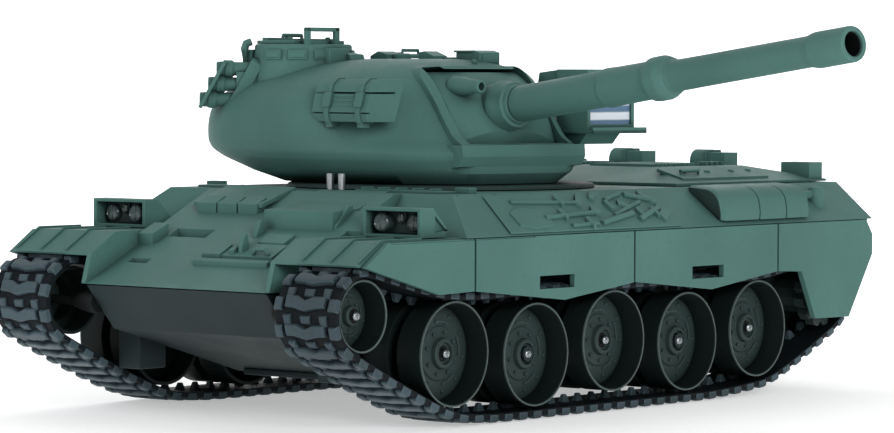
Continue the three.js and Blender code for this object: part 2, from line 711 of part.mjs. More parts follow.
function gunShield() {
  const arc = (r, from, to, steps) => {
    const points = [];
    for (let i = 0; i <= steps; i += 1) {
      const a = ((from + ((to - from) * i) / steps) * Math.PI) / 180;
      points.push([GUN.trunnionU + r * Math.cos(a), GUN.trunnionZ + r * Math.sin(a)]);
    }
    return points;
  };
  // the bulged plate is a slice of a ring turned about the trunnions
  const outer = [];
  for (let i = 0; i <= 8; i += 1) {
    const share = i / 4 - 1;
    const drop = (GUN.shieldRadius - GUN.shieldSideRadius) * share ** 2;
    outer.push([GUN.shieldRadius - drop, share * GUN.shieldHalf]);
  }
  const inner = outer.map(([r, v]) => [r - 3, v]).reverse();
  const ring = latheY([...outer, ...inner, outer[0]], GUN.trunnionU, GUN.trunnionZ, 56);
  const slice = prismY(
    [[GUN.trunnionU, GUN.trunnionZ], ...arc(46, 6, 58, 3)], -GUN.shieldHalf, GUN.shieldHalf,
  );
  const plate = ring.intersect(slice);
  const cheeks = [-1, 1].map((s) => {
    const [low, high] = [s * (GUN.shieldHalf - 2.4), s * GUN.shieldHalf].sort((a, b) => a - b);
    const [pinLow, pinHigh] = [s * (GUN.shieldHalf - 2), s * 26.4].sort((a, b) => a - b);
    return join(
      prismY([...arc(GUN.shieldSideRadius - 1, 6, 58, 5), ...arc(4, 150, 270, 4)], low, high),
      rodY(2, pinLow, pinHigh, GUN.trunnionU, GUN.trunnionZ, 16),
    );
  });
  const collar = lathe([
    [0, -8], [7.4, -8], [7.2, 2.6], [6.6, 3], [6.6, 4.4], [5.4, 4.8], [0, 4.8],
  ], 20);
  const port = new THREE.CapsuleGeometry(2.1, 9, 3, 8);
  port.rotateZ(Math.PI / 2);
  port.translate(30, -14, 93);
  const portHole = new THREE.CylinderGeometry(1.1, 1.1, 5, 10);
  portHole.rotateZ(Math.PI / 2);
  portHole.translate(37.1, -14, 93);
  const socket = lathe([[0, -9], [4, -9], [4, 6], [0, 6]], 16);
  return cut(
    join(plate, ...cheeks, alongBore(collar), solid(port)), solid(portHole), alongBore(socket),
  );
}

function gunBarrel() {
  const profile = [
    [0, -4], [3.7, -4], [3.7, 5.1], [5.9, 5.1], [5.8, 47], [6.3, 47.6], [6.2, 50], [5.95, 67.5],
    [6, 68], [6.9, 69.5], [6.9, 74], [6.1, 76.4], [5, 78.4], [4.8, 90], [4.75, 136],
    [5.5, 139], [5.45, GUN.length - 0.6], [5.1, GUN.length], [GUN.boreRadius, GUN.length],
    [GUN.boreRadius, GUN.length - 45], [0, GUN.length - 45],
  ];
  return alongBore(lathe(profile, 20));
}

// ---- turret fittings -------------------------------------------------------------------------
function cupola() {
  const { u, v, radius, topZ } = CUPOLA;
  const drum = lathe([
    [radius - 2.5, 90], [radius + 1.6, 90], [radius + 0.6, 101], [radius, topZ],
    [radius - 2.5, topZ], [radius - 2.5, 90],
  ], 32);
  drum.translate(u, v, 0);
  const frame = join(
    box(u + 12, u + 13.6, v - 9.4, v - 7.2, topZ - 3, 112.4),
    box(u + 12, u + 13.6, v + 2.6, v + 4.8, topZ - 3, 112.4),
    box(u + 12, u + 13.6, v - 9.4, v + 4.8, 111, 112.4),
  );
  const sightBlock = box(u + 13, u + 19, v - 4, v + 4, 100, 105.4);
  return cut(
    join(solid(drum), frame, sightBlock),
    turretBody(0.4),
  );
}

function cupolaHatch() {
  const { u, v, radius, topZ } = CUPOLA;
  const lid = rodZ(radius - 1.2, topZ + GAP, topZ + 1.5, u - 1.5, v, 32);
  const notch = box(u + 8.4, u + 20, v - 12, v + 12, topZ, topZ + 4);
  const hinge = box(u - 17.6, u - 13.5, v - 4, v + 4, topZ + GAP, topZ + 2.6);
  const handle = box(u - 6, u + 2, v - 1, v + 1, topZ + 1.2, topZ + 2.8);
  return join(cut(lid, notch), hinge, handle);
}

function loaderHatch() {
  const { u, v, radius, seatZ } = LOADER_HATCH;
  const low = seatZ + GAP;
  const lid = rodZ(radius, low, low + 1.3, u, v, 28);
  const hinge = box(u - 11, u - 7, v - 3, v + 3, low, low + 2.1);
  const handle = box(u - 1, u + 1, v - 3.5, v + 3.5, low + 1.1, low + 2.7);
  return join(lid, hinge, handle);
}

function sightBox() {
  return cut(
    join(
      prismY([[-2, 98], [10, 98], [10, 104.2], [7, 104.8], [-2, 104]], 8, 17),
      prismY([[-12, 99], [-4, 99], [-4, 103], [-9, 104.6], [-12, 104.2]], 0, 6),
      box(-8, 0, 4, 12, 99, 102.6),
    ),
    turretBody(0.35),
  );
}

// A bank of three smoke tubes that run through two slanted plates, on a foot on the shell.
function smokeDischarger() {
  const step = { x: 2.8, z: 5.1 };
  const rods = (radius, from, to) => [0, 1, 2].map((i) => {
    const rod = lathe([[0, from], [radius, from], [radius, to], [0, to]], 10);
    rod.rotateY(Math.PI / 2);
    rod.translate((i - 1) * step.x, 0, step.z * (1 - i));
    return solid(rod);
  });
  const plates = [[0, 7.6], [11, 7]].map(([x, width]) => {
    const plate = new THREE.BoxGeometry(1.4, width, 18);
    plate.rotateY(-Math.atan2(step.x, step.z));
    plate.translate(x, 0, 0);
    return solid(plate);
  });
  const foot = box(-16, 1, -3, 3, -4, 4);
  const whole = cut(join(...rods(2.3, -2.5, 13), ...plates, foot), ...rods(1.6, 9, 20));
  const { u, v, z, turn } = DISCHARGER;
  return cut(
    whole.rotate([0, 0, turn]).translate([u, v, z]),
    turretBody(0.4),
    rodZ(CUPOLA.radius + 2.2, 80, 120, CUPOLA.u, CUPOLA.v, 32),
  );
}

// The strapped stowage box on the turret's flank.
function flankBox() {
  const profile = [
    [-40, 81.5], [-51.5, 81.5], [-52.2, 84.5], [-49.8, 93.5], [-47.6, 95.4], [-36, 95.4],
  ];
  const body = prismX(profile, -4, 27);
  const straps = [3, 19].map((x) => prismX(
    [[-45, 81], [-52, 81], [-52.8, 84.6], [-50.4, 94], [-48, 96], [-45, 96]], x, x + 2.6,
  ));
  return cut(join(body, ...straps), turretBody(0.4));
}

function searchlightTray() {
  const plate = box(22, 42, 29.8, 54, 77.6, 78.8);
  const web = prismY([[24, 78], [38, 78], [34, 74], [24, 74]], 31, 46);
  const root = box(8, 30, 30, 40, 74, 77.8);
  return cut(join(plate, web, root), turretBody(0.4));
}

function searchlightHousing() {
  const body = join(box(24, 39, 30, 51, 79.1, 98.8), box(12, 25, 31, 44, 88, 97.6));
  const window = box(37.4, 42, 31, 49, 80.6, 97);
  return cut(body, window, turretBody(0.6));
}

function searchlightLens() {
  return box(37.7, 38.4, 31.4, 48.6, 81, 96.6);
}

// ---- assembly ------------------------------------------------------------------------------
const hull = new THREE.Group();
const leftSide = new THREE.Group();
const rightSide = new THREE.Group();
rightSide.scale.y = -1;
group.add(hull, leftSide, rightSide);

addPiece(hull, "upper_hull", upperHull(), green);
addPiece(hull, "lower_hull", lowerHull(), darkGreen);
addPiece(hull, "engine_deck", engineDeck(), green);
addPiece(hull, "gearbox", gearbox(), blackPlastic);
addPiece(hull, "drive_motor_left", driveMotor(1), steel);
addPiece(hull, "drive_motor_right", driveMotor(-1), steel);
addPiece(hull, "battery_pack", box(-68, -14, -17, 17, 4, 22), cellWrap);
addPiece(hull, "circuit_board", box(-60, 40, -28, 28, 33, 34.6), boardGreen);
addPiece(hull, "turret_motor", rodZ(10, 36, 54, 38, 0, 24), steel);
addPiece(hull, "contact_post_inner", rodZ(1.2, HULL.deckZ + GAP, 65.4, 64.5, 8, 12), steel);
addPiece(hull, "contact_post_outer", rodZ(1.2, HULL.deckZ + GAP, 65.4, 64.5, 12.8, 12), steel);

const { x0: doorX0, x1: doorX1, half: doorHalf } = BATTERY_DOOR;
const door = join(
  box(doorX0, doorX1, -doorHalf, doorHalf, 0, 1.8),
  box(doorX0 + 3, doorX0 + 7, -6, 6, -1, 0.5),
);
addPiece(hull, "battery_door", door, darkGreen);
const knob = join(
  box(SWITCH.x0 + 0.5, SWITCH.x1 - 0.5, -4.6, -0.6, -1.6, WALL + 1.4),
  box(SWITCH.x0 - 1.5, SWITCH.x1 + 1.5, -5.6, 0.4, WALL + GAP, WALL + 1.4),
);
addPiece(hull, "power_switch", knob, blackPlastic);

[["left", leftSide], ["right", rightSide]].forEach(([side, half]) => {
  addPiece(half, `skirt_${side}`, skirt(), green);
  addPiece(half, `tool_panel_${side}`, toolPanel(), green);
  addPiece(half, `stowage_bin_${side}`, stowageBin(), green);
  addPiece(half, `headlight_guard_${side}`, headlightGuard(), green);
  addPiece(half, `headlamps_${side}`, headlamps(), lampGlass);
  addPiece(half, `track_${side}`, track(), trackRubber);
  addPiece(half, `drive_sprocket_${side}`, sprocket(), wheelGreen);
  const { x, z, radius } = IDLER;
  addPiece(half, `idler_wheel_${side}`, wheel(x, z, radius, radius - 1.8, 71.4, 49.6), wheelGreen);
  [2, 1, 0, -1, -2].forEach((n, i) => {
    const roadWheel = wheel(
      n * WHEEL.pitch, wheelZ(n), WHEEL.radius, WHEEL.dish, WHEEL.faceY, WHEEL.innerY,
    );
    addPiece(half, `road_wheel_${side}_${i + 1}`, roadWheel, wheelGreen);
    if (Math.abs(n) === 1) {
      addPiece(half, `swing_arm_${side}_${i + 1}`, swingArm(n), darkGreen);
    }
  });
});

const turret = new THREE.Group();
turret.rotation.z = THREE.MathUtils.degToRad(TURRET.yaw);
group.add(turret);
addPiece(turret, "turret_shell", turretShell(), green);
addPiece(turret, "turret_base", turretBase(), green);
addPiece(turret, "gun_shield", gunShield(), green);
addPiece(turret, "gun_barrel", gunBarrel(), green);
addPiece(turret, "cupola", cupola(), green);
addPiece(turret, "cupola_hatch", cupolaHatch(), green);
addPiece(turret, "loader_hatch", loaderHatch(), green);
addPiece(turret, "sight_box", sightBox(), green);
addPiece(turret, "searchlight_tray", searchlightTray(), green);
addPiece(turret, "searchlight_housing", searchlightHousing(), green);
addPiece(turret, "searchlight_lens", searchlightLens(), lampGlass);
addPiece(turret, "smoke_discharger_right", smokeDischarger(), green);
addPiece(turret, "flank_box_right", flankBox(), green);
addPiece(turret, "smoke_discharger_left", smokeDischarger(), green).scale.y = -1;

export default group;
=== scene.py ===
import math

import bmesh
import bpy
from mathutils import Matrix, Vector


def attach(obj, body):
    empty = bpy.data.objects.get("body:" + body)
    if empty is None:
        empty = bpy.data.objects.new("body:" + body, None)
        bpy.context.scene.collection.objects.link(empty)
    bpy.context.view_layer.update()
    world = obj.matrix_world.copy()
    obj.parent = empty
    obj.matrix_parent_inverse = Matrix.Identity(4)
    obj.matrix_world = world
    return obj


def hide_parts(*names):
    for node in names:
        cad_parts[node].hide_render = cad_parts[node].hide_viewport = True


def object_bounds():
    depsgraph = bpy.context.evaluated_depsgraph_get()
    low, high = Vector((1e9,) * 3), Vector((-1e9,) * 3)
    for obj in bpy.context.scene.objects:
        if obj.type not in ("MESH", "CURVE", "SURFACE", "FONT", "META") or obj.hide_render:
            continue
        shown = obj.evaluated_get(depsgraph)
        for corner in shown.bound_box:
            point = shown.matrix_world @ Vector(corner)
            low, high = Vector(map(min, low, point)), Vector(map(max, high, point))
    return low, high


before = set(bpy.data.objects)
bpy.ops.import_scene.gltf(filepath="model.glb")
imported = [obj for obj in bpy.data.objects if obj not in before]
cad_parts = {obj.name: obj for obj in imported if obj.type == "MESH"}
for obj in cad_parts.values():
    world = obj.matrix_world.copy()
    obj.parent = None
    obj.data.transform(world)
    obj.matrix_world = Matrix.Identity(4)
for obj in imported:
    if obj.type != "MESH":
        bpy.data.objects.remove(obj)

cad_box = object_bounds()

# Lengths are in millimetres in this script and are scaled to metres when a piece is made.
# +X forward along the hull, +Y to its left, +Z up; turret pieces are made pointing along +X.
MM = 0.001
TURRET = Matrix.Rotation(math.radians(80), 4, "Z")
FLIP = Matrix.Scale(-1, 4, (0, 1, 0))
STILL = Matrix.Identity(4)

# hull outline
NOSE_X, NOSE_Z = 128.3, 31.3
TAIL_X = -144.9
SIDE_Z = 47.2  # where the sloping side meets the skirt
DECK_Z = 59.7
BOW_SLOPE = 0.487  # fall of the bow plate for each millimetre forward

# running gear: places are (x, z)
AXLE_Z = 12
ARM_AXLE_Z = 9.75
IDLER = (121.8, 25.4)
SPROCKET = (-121, 22)
LINK_PITCH = 7.2


# ---- camera, floor and light ---------------------------------------------------------------
def add_camera():
    """The camera solved from the photo: its three axes, and its place in metres."""
    right = Vector((-0.63727, 0.77063, 0.00343))
    up = Vector((-0.02685, -0.02665, 0.99928))
    back = Vector((0.77017, 0.63672, 0.03767))
    place = Vector((0.96386, 0.79952, 0.097))
    data = bpy.data.cameras.new("camera")
    data.sensor_width = 36
    data.lens = 152.2
    camera = bpy.data.objects.new("camera", data)
    bpy.context.scene.collection.objects.link(camera)
    matrix = Matrix((right, up, back)).transposed().to_4x4()
    matrix.translation = place
    camera.matrix_world = matrix
    bpy.context.scene.camera = camera


def add_area(name, place, aim, size, power, colour=(1, 1, 1)):
    """A square lamp at a place, turned towards aim; metres and watts."""
    data = bpy.data.lights.new(name, "AREA")
    data.shape = "SQUARE"
    data.size = size
    data.energy = power
    data.color = colour
    lamp = bpy.data.objects.new(name, data)
    bpy.context.scene.collection.objects.link(lamp)
    lamp.location = place
    lamp.rotation_euler = (Vector(aim) - Vector(place)).to_track_quat("-Z", "Y").to_euler()


def add_studio():
    """A pale room, a key lamp on the left flank, a fill on the right of the bow, and two more."""
    model = (0, 0, 0.05)
    world = bpy.data.worlds.new("studio")
    bpy.context.scene.world = world
    world.use_nodes = True
    world.node_tree.nodes["Background"].inputs["Color"].default_value = (1, 1, 1, 1)
    world.node_tree.nodes["Background"].inputs["Strength"].default_value = 0.18
    add_area("key", (0.8, 1.7, 0.62), model, 0.8, 18)
    add_area("fill", (1.5, -0.8, 0.75), model, 1.0, 9, (0.96, 0.98, 1))
    add_area("top", (-0.2, 0.2, 1.5), model, 0.6, 1.2)
    add_area("backdrop", (-1.2, -1.0, 2.2), (-2.6, -2.2, 0.4), 2.0, 50)


def add_floor():
    """A pale floor that curves up into a backdrop behind the model, as the camera sees it."""
    low = cad_box[0].z
    away = Vector((-0.77, -0.637, 0)).normalized()
    across = Vector((-away.y, away.x, 0))
    near = -2.5
    flat_end = 2.2
    radius = 1.0
    wall_top = 4.2
    half_width = 4.5
    profile = [(near, 0), (flat_end, 0)]
    for step in range(1, 13):
        a = math.radians(step * 7.5)
        profile.append((flat_end + radius * math.sin(a), radius * (1 - math.cos(a))))
    profile.append((flat_end + radius, wall_top))
    points = []
    for distance, height in profile:
        for side in (-half_width, half_width):
            p = away * distance + across * side
            points.append((p.x, p.y, low + height))
    faces = [(2 * i, 2 * i + 1, 2 * i + 3, 2 * i + 2) for i in range(len(profile) - 1)]
    data = bpy.data.meshes.new("floor")
    data.from_pydata(points, [], faces)
    data.shade_smooth()
    floor = bpy.data.objects.new("floor", data)
    bpy.context.scene.collection.objects.link(floor)
    paper = bpy.data.materials.new("paper")
    paper.use_nodes = True
    shader = paper.node_tree.nodes["Principled BSDF"]
    shader.inputs["Base Color"].default_value = (0.93, 0.93, 0.93, 1)
    shader.inputs["Roughness"].default_value = 0.9
    shader.inputs["Emission Color"].default_value = (1, 1, 1, 1)
    shader.inputs["Emission Strength"].default_value = 0.42
    data.materials.append(paper)


# ---- materials -----------------------------------------------------------------------------
def node(tree, kind, **inputs):
    """A new shader node with its inputs set; an underscore stands for a space in their names."""
    made = tree.nodes.new(kind)
    for name, value in inputs.items():
        made.inputs[name.replace("_", " ")].default_value = value
    return made


def noise(tree, coord, scale, detail=3.0):
    made = node(tree, "ShaderNodeTexNoise", Scale=scale, Detail=detail, Roughness=0.55)
    tree.links.new(coord, made.inputs["Vector"])
    return made.outputs["Fac"]


def ramp(tree, value, low, high, to_low=0.0, to_high=1.0):
    """Maps low..high to to_low..to_high."""
    made = node(
        tree, "ShaderNodeMapRange",
        From_Min=low, From_Max=high, To_Min=to_low, To_Max=to_high,
    )
    tree.links.new(value, made.inputs["Value"])
    return made.outputs["Result"]


def mix(tree, factor, first, second):
    """Blends two colours, each a tuple or another node's output."""
    made = tree.nodes.new("ShaderNodeMix")
    made.data_type = "RGBA"
    tree.links.new(factor, made.inputs["Factor"])
    for socket, value in ((made.inputs[6], first), (made.inputs[7], second)):
        if isinstance(value, tuple):
            socket.default_value = (*value, 1)
        else:
            tree.links.new(value, socket)
    return made.outputs[2]


def shade(colour, factor):
    return tuple(min(1.0, c * factor) for c in colour)


def moulded(name, colour, rough=0.5, vary=0.1, edge=1.5, grain=0.08, metal=0.0, edge_size=0.35):
    """Moulded plastic or metal: drifting tone, fine grain, a painted highlight along the edges,
    painted shade in the corners.
    """
    made = bpy.data.materials.new(name)
    made.use_nodes = True
    tree = made.node_tree
    shader = tree.nodes["Principled BSDF"]
    coord = tree.nodes.new("ShaderNodeTexCoord").outputs["Object"]
    drift = ramp(tree, noise(tree, coord, 22), 0.3, 0.7)
    cloud = mix(tree, drift, shade(colour, 1 - vary), shade(colour, 1 + vary))
    speck = ramp(tree, noise(tree, coord, 420, 4), 0.56, 0.74, 0, 0.35)
    toned = mix(tree, speck, cloud, shade(colour, 1 - 1.8 * vary))
    # painted highlight: where the rounded normal turns away from the face, the colour is lightened
    # by the factor edge
    rounded = node(tree, "ShaderNodeBevel", Radius=edge_size * MM)
    rounded.samples = 4
    geometry = tree.nodes.new("ShaderNodeNewGeometry")
    dot = tree.nodes.new("ShaderNodeVectorMath")
    dot.operation = "DOT_PRODUCT"
    tree.links.new(rounded.outputs["Normal"], dot.inputs[0])
    tree.links.new(geometry.outputs["Normal"], dot.inputs[1])
    edge_highlight_mask = ramp(tree, dot.outputs["Value"], 0.995, 0.9, 0, 0.55)
    edge_highlighted = mix(tree, edge_highlight_mask, toned, shade(colour, edge))
    # painted shade: the colour is darkened towards 0.3 of itself where ambient occlusion finds
    # surfaces close by
    corner = node(tree, "ShaderNodeAmbientOcclusion", Distance=0.005)
    corner.samples = 4
    corner_shade_mask = ramp(tree, corner.outputs["AO"], 0.35, 0.95, 0.75, 0)
    final = mix(tree, corner_shade_mask, edge_highlighted, shade(colour, 0.3))
    tree.links.new(final, shader.inputs["Base Color"])
    dull = ramp(tree, noise(tree, coord, 60), 0.3, 0.7, rough - 0.06, rough + 0.07)
    tree.links.new(dull, shader.inputs["Roughness"])
    shader.inputs["Metallic"].default_value = metal
    shader.inputs["Specular IOR Level"].default_value = 0.13
    fine = noise(tree, coord, 1500, 2)
    bump = node(tree, "ShaderNodeBump", Strength=grain, Distance=0.0004)
    tree.links.new(fine, bump.inputs["Height"])
    tree.links.new(bump.outputs["Normal"], shader.inputs["Normal"])
    return made


GREEN = moulded("hull_green", (0.084, 0.19, 0.168), rough=0.58, grain=0.12)
# painted shade: a darker green for faces and hollows that stand in shade: the ring under the
# turret, the plate behind the lamps, and the bin's core and front
SHADE = moulded("shaded_green", (0.032, 0.058, 0.053), rough=0.6)
DARK = moulded("tub_green", (0.022, 0.035, 0.037), rough=0.55)
WHEEL = moulded("wheel_green", (0.033, 0.054, 0.051), rough=0.42, edge=3)
# near black: the wheels' own dark plastic, darkened further as painted shade inside the rims
RIM = moulded("rim_green", (0.009, 0.014, 0.014), rough=0.5, edge=3)
# painted highlight: a lighter ring for the lit outer edge of each wheel's rim
RIM_HIGHLIGHT = moulded("rim_highlight", (0.08, 0.11, 0.105), rough=0.35)
RUBBER = moulded(
    "track_rubber", (0.055, 0.085, 0.098), rough=0.38, vary=0.25, edge=3, grain=0.25,
)
# near black: painted shade, for the band that shows in the gaps between the links
BELT = moulded("track_belt", (0.007, 0.01, 0.012), rough=0.6, vary=0.25)
BLACK = moulded("black_plastic", (0.01, 0.012, 0.012), rough=0.45, edge=1.8)
STEEL = moulded("steel", (0.42, 0.45, 0.47), rough=0.3, metal=1.0, edge=1.2)
CELLS = moulded("cell_wrap", (0.03, 0.11, 0.25), rough=0.35)
BOARD = moulded("board", (0.012, 0.1, 0.045), rough=0.45)


def lamp_glass():
    """Dark, glossy lamp plastic under a clear coat."""
    made = moulded("lamp_glass", (0.07, 0.1, 0.1), rough=0.2, grain=0.02)
    made.node_tree.nodes["Principled BSDF"].inputs["Coat Weight"].default_value = 0.6
    return made


def striped_glass():
    """The searchlight's window: pale level bands on blue glass."""
    made = bpy.data.materials.new("striped_glass")
    made.use_nodes = True
    tree = made.node_tree
    shader = tree.nodes["Principled BSDF"]
    coord = tree.nodes.new("ShaderNodeTexCoord").outputs["Object"]
    wave = node(tree, "ShaderNodeTexWave", Scale=66.0, Distortion=0.6, Detail=1.0)
    wave.bands_direction = "Z"
    tree.links.new(coord, wave.inputs["Vector"])
    stripes = ramp(tree, wave.outputs["Fac"], 0.3, 0.6)
    colour = mix(tree, stripes, (0.12, 0.22, 0.34), (0.82, 0.9, 0.96))
    tree.links.new(colour, shader.inputs["Base Color"])
    dull = ramp(tree, noise(tree, coord, 90), 0.3, 0.7, 0.1, 0.2)
    tree.links.new(dull, shader.inputs["Roughness"])
    shader.inputs["Coat Weight"].default_value = 0.8
    return made


GLASS = lamp_glass()
STRIPES = striped_glass()


# ---- mesh helpers --------------------------------------------------------------------------
def along(axis, a, b, t):
    """A point with the outline's two numbers across the axis, and t along it."""
    return {"x": (t, a, b), "y": (a, t, b), "z": (a, b, t)}[axis]


class Shape:
    """Closed solids gathered into one mesh."""

    def __init__(self):
        self.mesh = bmesh.new()

    def loft(self, rings, closed=False):
        """A skin over rings of equal length, capped, or joined end to start if closed."""
        rows = [[self.mesh.verts.new(p) for p in ring] for ring in rings]
        pairs = list(zip(rows, rows[1:]))
        if closed:
            pairs.append((rows[-1], rows[0]))
        for a, b in pairs:
            for i in range(len(a)):
                j = (i + 1) % len(a)
                self.mesh.faces.new((a[i], a[j], b[j], b[i]))
        if not closed:
            self.mesh.faces.new(rows[0][::-1])
            self.mesh.faces.new(rows[-1])
        return self

    def prism(self, outline, low, high, axis="y"):
        return self.loft([[along(axis, a, b, t) for a, b in outline] for t in (low, high)])

    def box(self, x0, x1, y0, y1, z0, z1):
        return self.prism([(x0, y0), (x1, y0), (x1, y1), (x0, y1)], z0, z1, "z")

    def turn(self, profile, at=(0, 0), axis="y", segments=32, closed=False):
        """A solid of revolution about a line along the axis through at; (radius, place) pairs."""
        rings = []
        for radius, t in profile:
            ring = []
            for k in range(segments):
                a = 2 * math.pi * k / segments
                ring.append(along(
                    axis, at[0] + radius * math.cos(a), at[1] + radius * math.sin(a), t,
                ))
            rings.append(ring)
        return self.loft(rings, closed)

    def bolt(self, a, b, base, height, radius, axis, segments=10):
        """A bolt head with a chamfered top, standing on base."""
        step = height * 0.3
        profile = [
            (radius, base), (radius, base + height - step), (radius * 0.7, base + height),
        ]
        return self.turn(profile, (a, b), axis, segments)

    def bar(self, points, radius, sides=8):
        """A round bar through the points."""
        rings = []
        for i, p in enumerate(points):
            before = Vector(points[max(i - 1, 0)])
            after = Vector(points[min(i + 1, len(points) - 1)])
            turn = (after - before).to_track_quat("Z", "Y")
            rings.append([
                Vector(p) + turn @ Vector((
                    radius * math.cos(2 * math.pi * k / sides),
                    radius * math.sin(2 * math.pi * k / sides), 0,
                ))
                for k in range(sides)
            ])
        return self.loft(rings)

    def add(self, other, matrix=STILL):
        """A copy of another shape, placed by the matrix."""
        data = bpy.data.meshes.new("part")
        other.mesh.to_mesh(data)
        data.transform(matrix)
        self.mesh.from_mesh(data)
        bpy.data.meshes.remove(data)
        return self


def make_object(name, shape, matrix):
    """Turns a shape into an object in metres, and uses the shape up."""
    bmesh.ops.transform(shape.mesh, matrix=matrix, verts=shape.mesh.verts)
    bmesh.ops.scale(shape.mesh, vec=(MM, MM, MM), verts=shape.mesh.verts)
    bmesh.ops.recalc_face_normals(shape.mesh, faces=shape.mesh.faces)
    data = bpy.data.meshes.new(name)
    shape.mesh.to_mesh(data)
    shape.mesh.free()
    made = bpy.data.objects.new(name, data)
    bpy.context.scene.collection.objects.link(made)
    return made


def settle(made):
    """Applies a piece's modifiers to its mesh."""
    graph = bpy.context.evaluated_depsgraph_get()
    final = bpy.data.meshes.new_from_object(made.evaluated_get(graph))
    made.modifiers.clear()
    old = made.data
    made.data = final
    bpy.data.meshes.remove(old)


def weight_normals(made):
    """Keeps flat faces flat beside their rounded edges."""
    modifier = made.modifiers.new("normals", "WEIGHTED_NORMAL")
    modifier.keep_sharp = True
    settle(made)


def combine(made, tool, operation, use_self=True):
    """Joins a tool object to a piece or cuts it out, and removes the tool."""
    modifier = made.modifiers.new("combine", "BOOLEAN")
    modifier.operation = operation
    modifier.solver = "EXACT"
    modifier.use_self = use_self
    modifier.object = tool
    settle(made)
    bpy.data.objects.remove(tool)


def boolean(made, shapes, matrix, operation):
    for i, shape in enumerate(shapes):
        combine(made, make_object(f"tool_{i}", shape, matrix), operation)


def round_edges(made, width, angle, segments=2):
    """Bevels the edges that turn by more than an angle in degrees."""
    modifier = made.modifiers.new("bevel", "BEVEL")
    modifier.width = width * MM
    modifier.segments = segments
    modifier.limit_method = "ANGLE"
    modifier.angle_limit = math.radians(angle)
    settle(made)


def dress(made, look, body, replaces, sharp):
    """Shades a finished mesh, gives it its material, and fixes it to its body."""
    made.data.shade_smooth()
    made.data.set_sharp_from_angle(angle=math.radians(sharp))
    weight_normals(made)
    made.data.materials.clear()
    made.data.materials.append(look)
    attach(made, body)
    if replaces:
        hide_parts(*replaces)


def piece(
    name, shape, body, look, replaces=(), bevel=0.3, sharp=38, cut=(), joined=(), matrix=STILL,
    segments=2,
):
    """One visible piece, bevelled, that rides on a body of the frame.

    Its solids are united with joined and cut by cut; bevel is in millimetres, and sharp is the
    angle in degrees from which an edge stays hard.
    """
    made = make_object(name, shape, matrix)
    boolean(made, joined, matrix, "UNION")
    boolean(made, cut, matrix, "DIFFERENCE")
    if bevel:
        round_edges(made, bevel, 28, segments)
    dress(made, look, body, replaces, sharp)


def turret_piece(name, shape, replaces=(), body="turret", look=GREEN, **settings):
    """A piece made pointing along +X and turned with the turret."""
    piece(name, shape, body, look, replaces, matrix=TURRET, **settings)


def sides():
    """Each side's name, its sign in Y, and the matrix that brings a left-hand piece there."""
    return (("left", 1, STILL), ("right", -1, FLIP))


# ---- hull ----------------------------------------------------------------------------------
def bow_z(x):
    """The height of the bow plate."""
    return NOSE_Z + (NOSE_X - x) * BOW_SLOPE


def on_bow(shape, x, y0, y1, rise, length, sink=1.0):
    """A flat pad on the bow plate from x backwards."""
    return shape.prism(
        [(x, bow_z(x) - sink), (x, bow_z(x) + rise), (x - length, bow_z(x - length) + rise),
         (x - length, bow_z(x - length) - sink)],
        y0, y1,
    )


def upper_hull():
    shape = Shape()
    shape.prism(
        [(NOSE_X, NOSE_Z), (70, DECK_Z), (TAIL_X, DECK_Z), (TAIL_X, NOSE_Z)], -39.3, 39.3,
    )
    side = Shape().loft([
        [(78, -75.2, SIDE_Z), (78, 75.2, SIDE_Z), (TAIL_X, 75.2, SIDE_Z), (TAIL_X, -75.2, SIDE_Z)],
        [(66.5, -60, DECK_Z), (66.5, 60, DECK_Z), (TAIL_X, 60, DECK_Z), (TAIL_X, -60, DECK_Z)],
    ])
    guards = []
    for s in (1, -1):
        low, high = sorted((s * 38.2, s * 73))
        guards.append(Shape().prism(
            [(TAIL_X, 45.4), (112, 45.4), (124.4, 40.3), (125.3, 39.9), (125.6, 40.5),
             (114.5, SIDE_Z), (TAIL_X, SIDE_Z)], low, high,
        ))
        low, high = sorted((s * 37.9, s * 39.6))
        guards.append(Shape().prism(
            [(93, SIDE_Z), (114.5, SIDE_Z), (125.4, 40.5), (128, 31.5), (93, 40)], low, high,
        ))
    pockets = [
        Shape().prism([(99.4, 44), (99.4, 46.6), (94.4, 49.8), (94.4, 44)], -30, -13.6),
        Shape().prism([(115.2, 35), (115.2, 38), (112.4, 40.5), (112.4, 35)], -32.4, -24),
        Shape().turn([(46.2, 50), (46.2, 64)], (0, 0), "z", 64),
        Shape().box(64.2, 64.8, -75, 75, 59.3, 62),
        Shape().box(46, 46.5, 40, 60.4, 59.3, 62),
        Shape().box(46, 46.5, -60.4, -40, 59.3, 62),
        Shape().box(104.2, 104.7, 52, 73.5, 46.8, 48),
        Shape().box(104.2, 104.7, -73.5, -52, 46.8, 48),
    ]
    piece(
        "upper_hull_shell", shape, "hull", GREEN, ["upper_hull"],
        bevel=0.45, cut=pockets, joined=[side, *guards],
    )


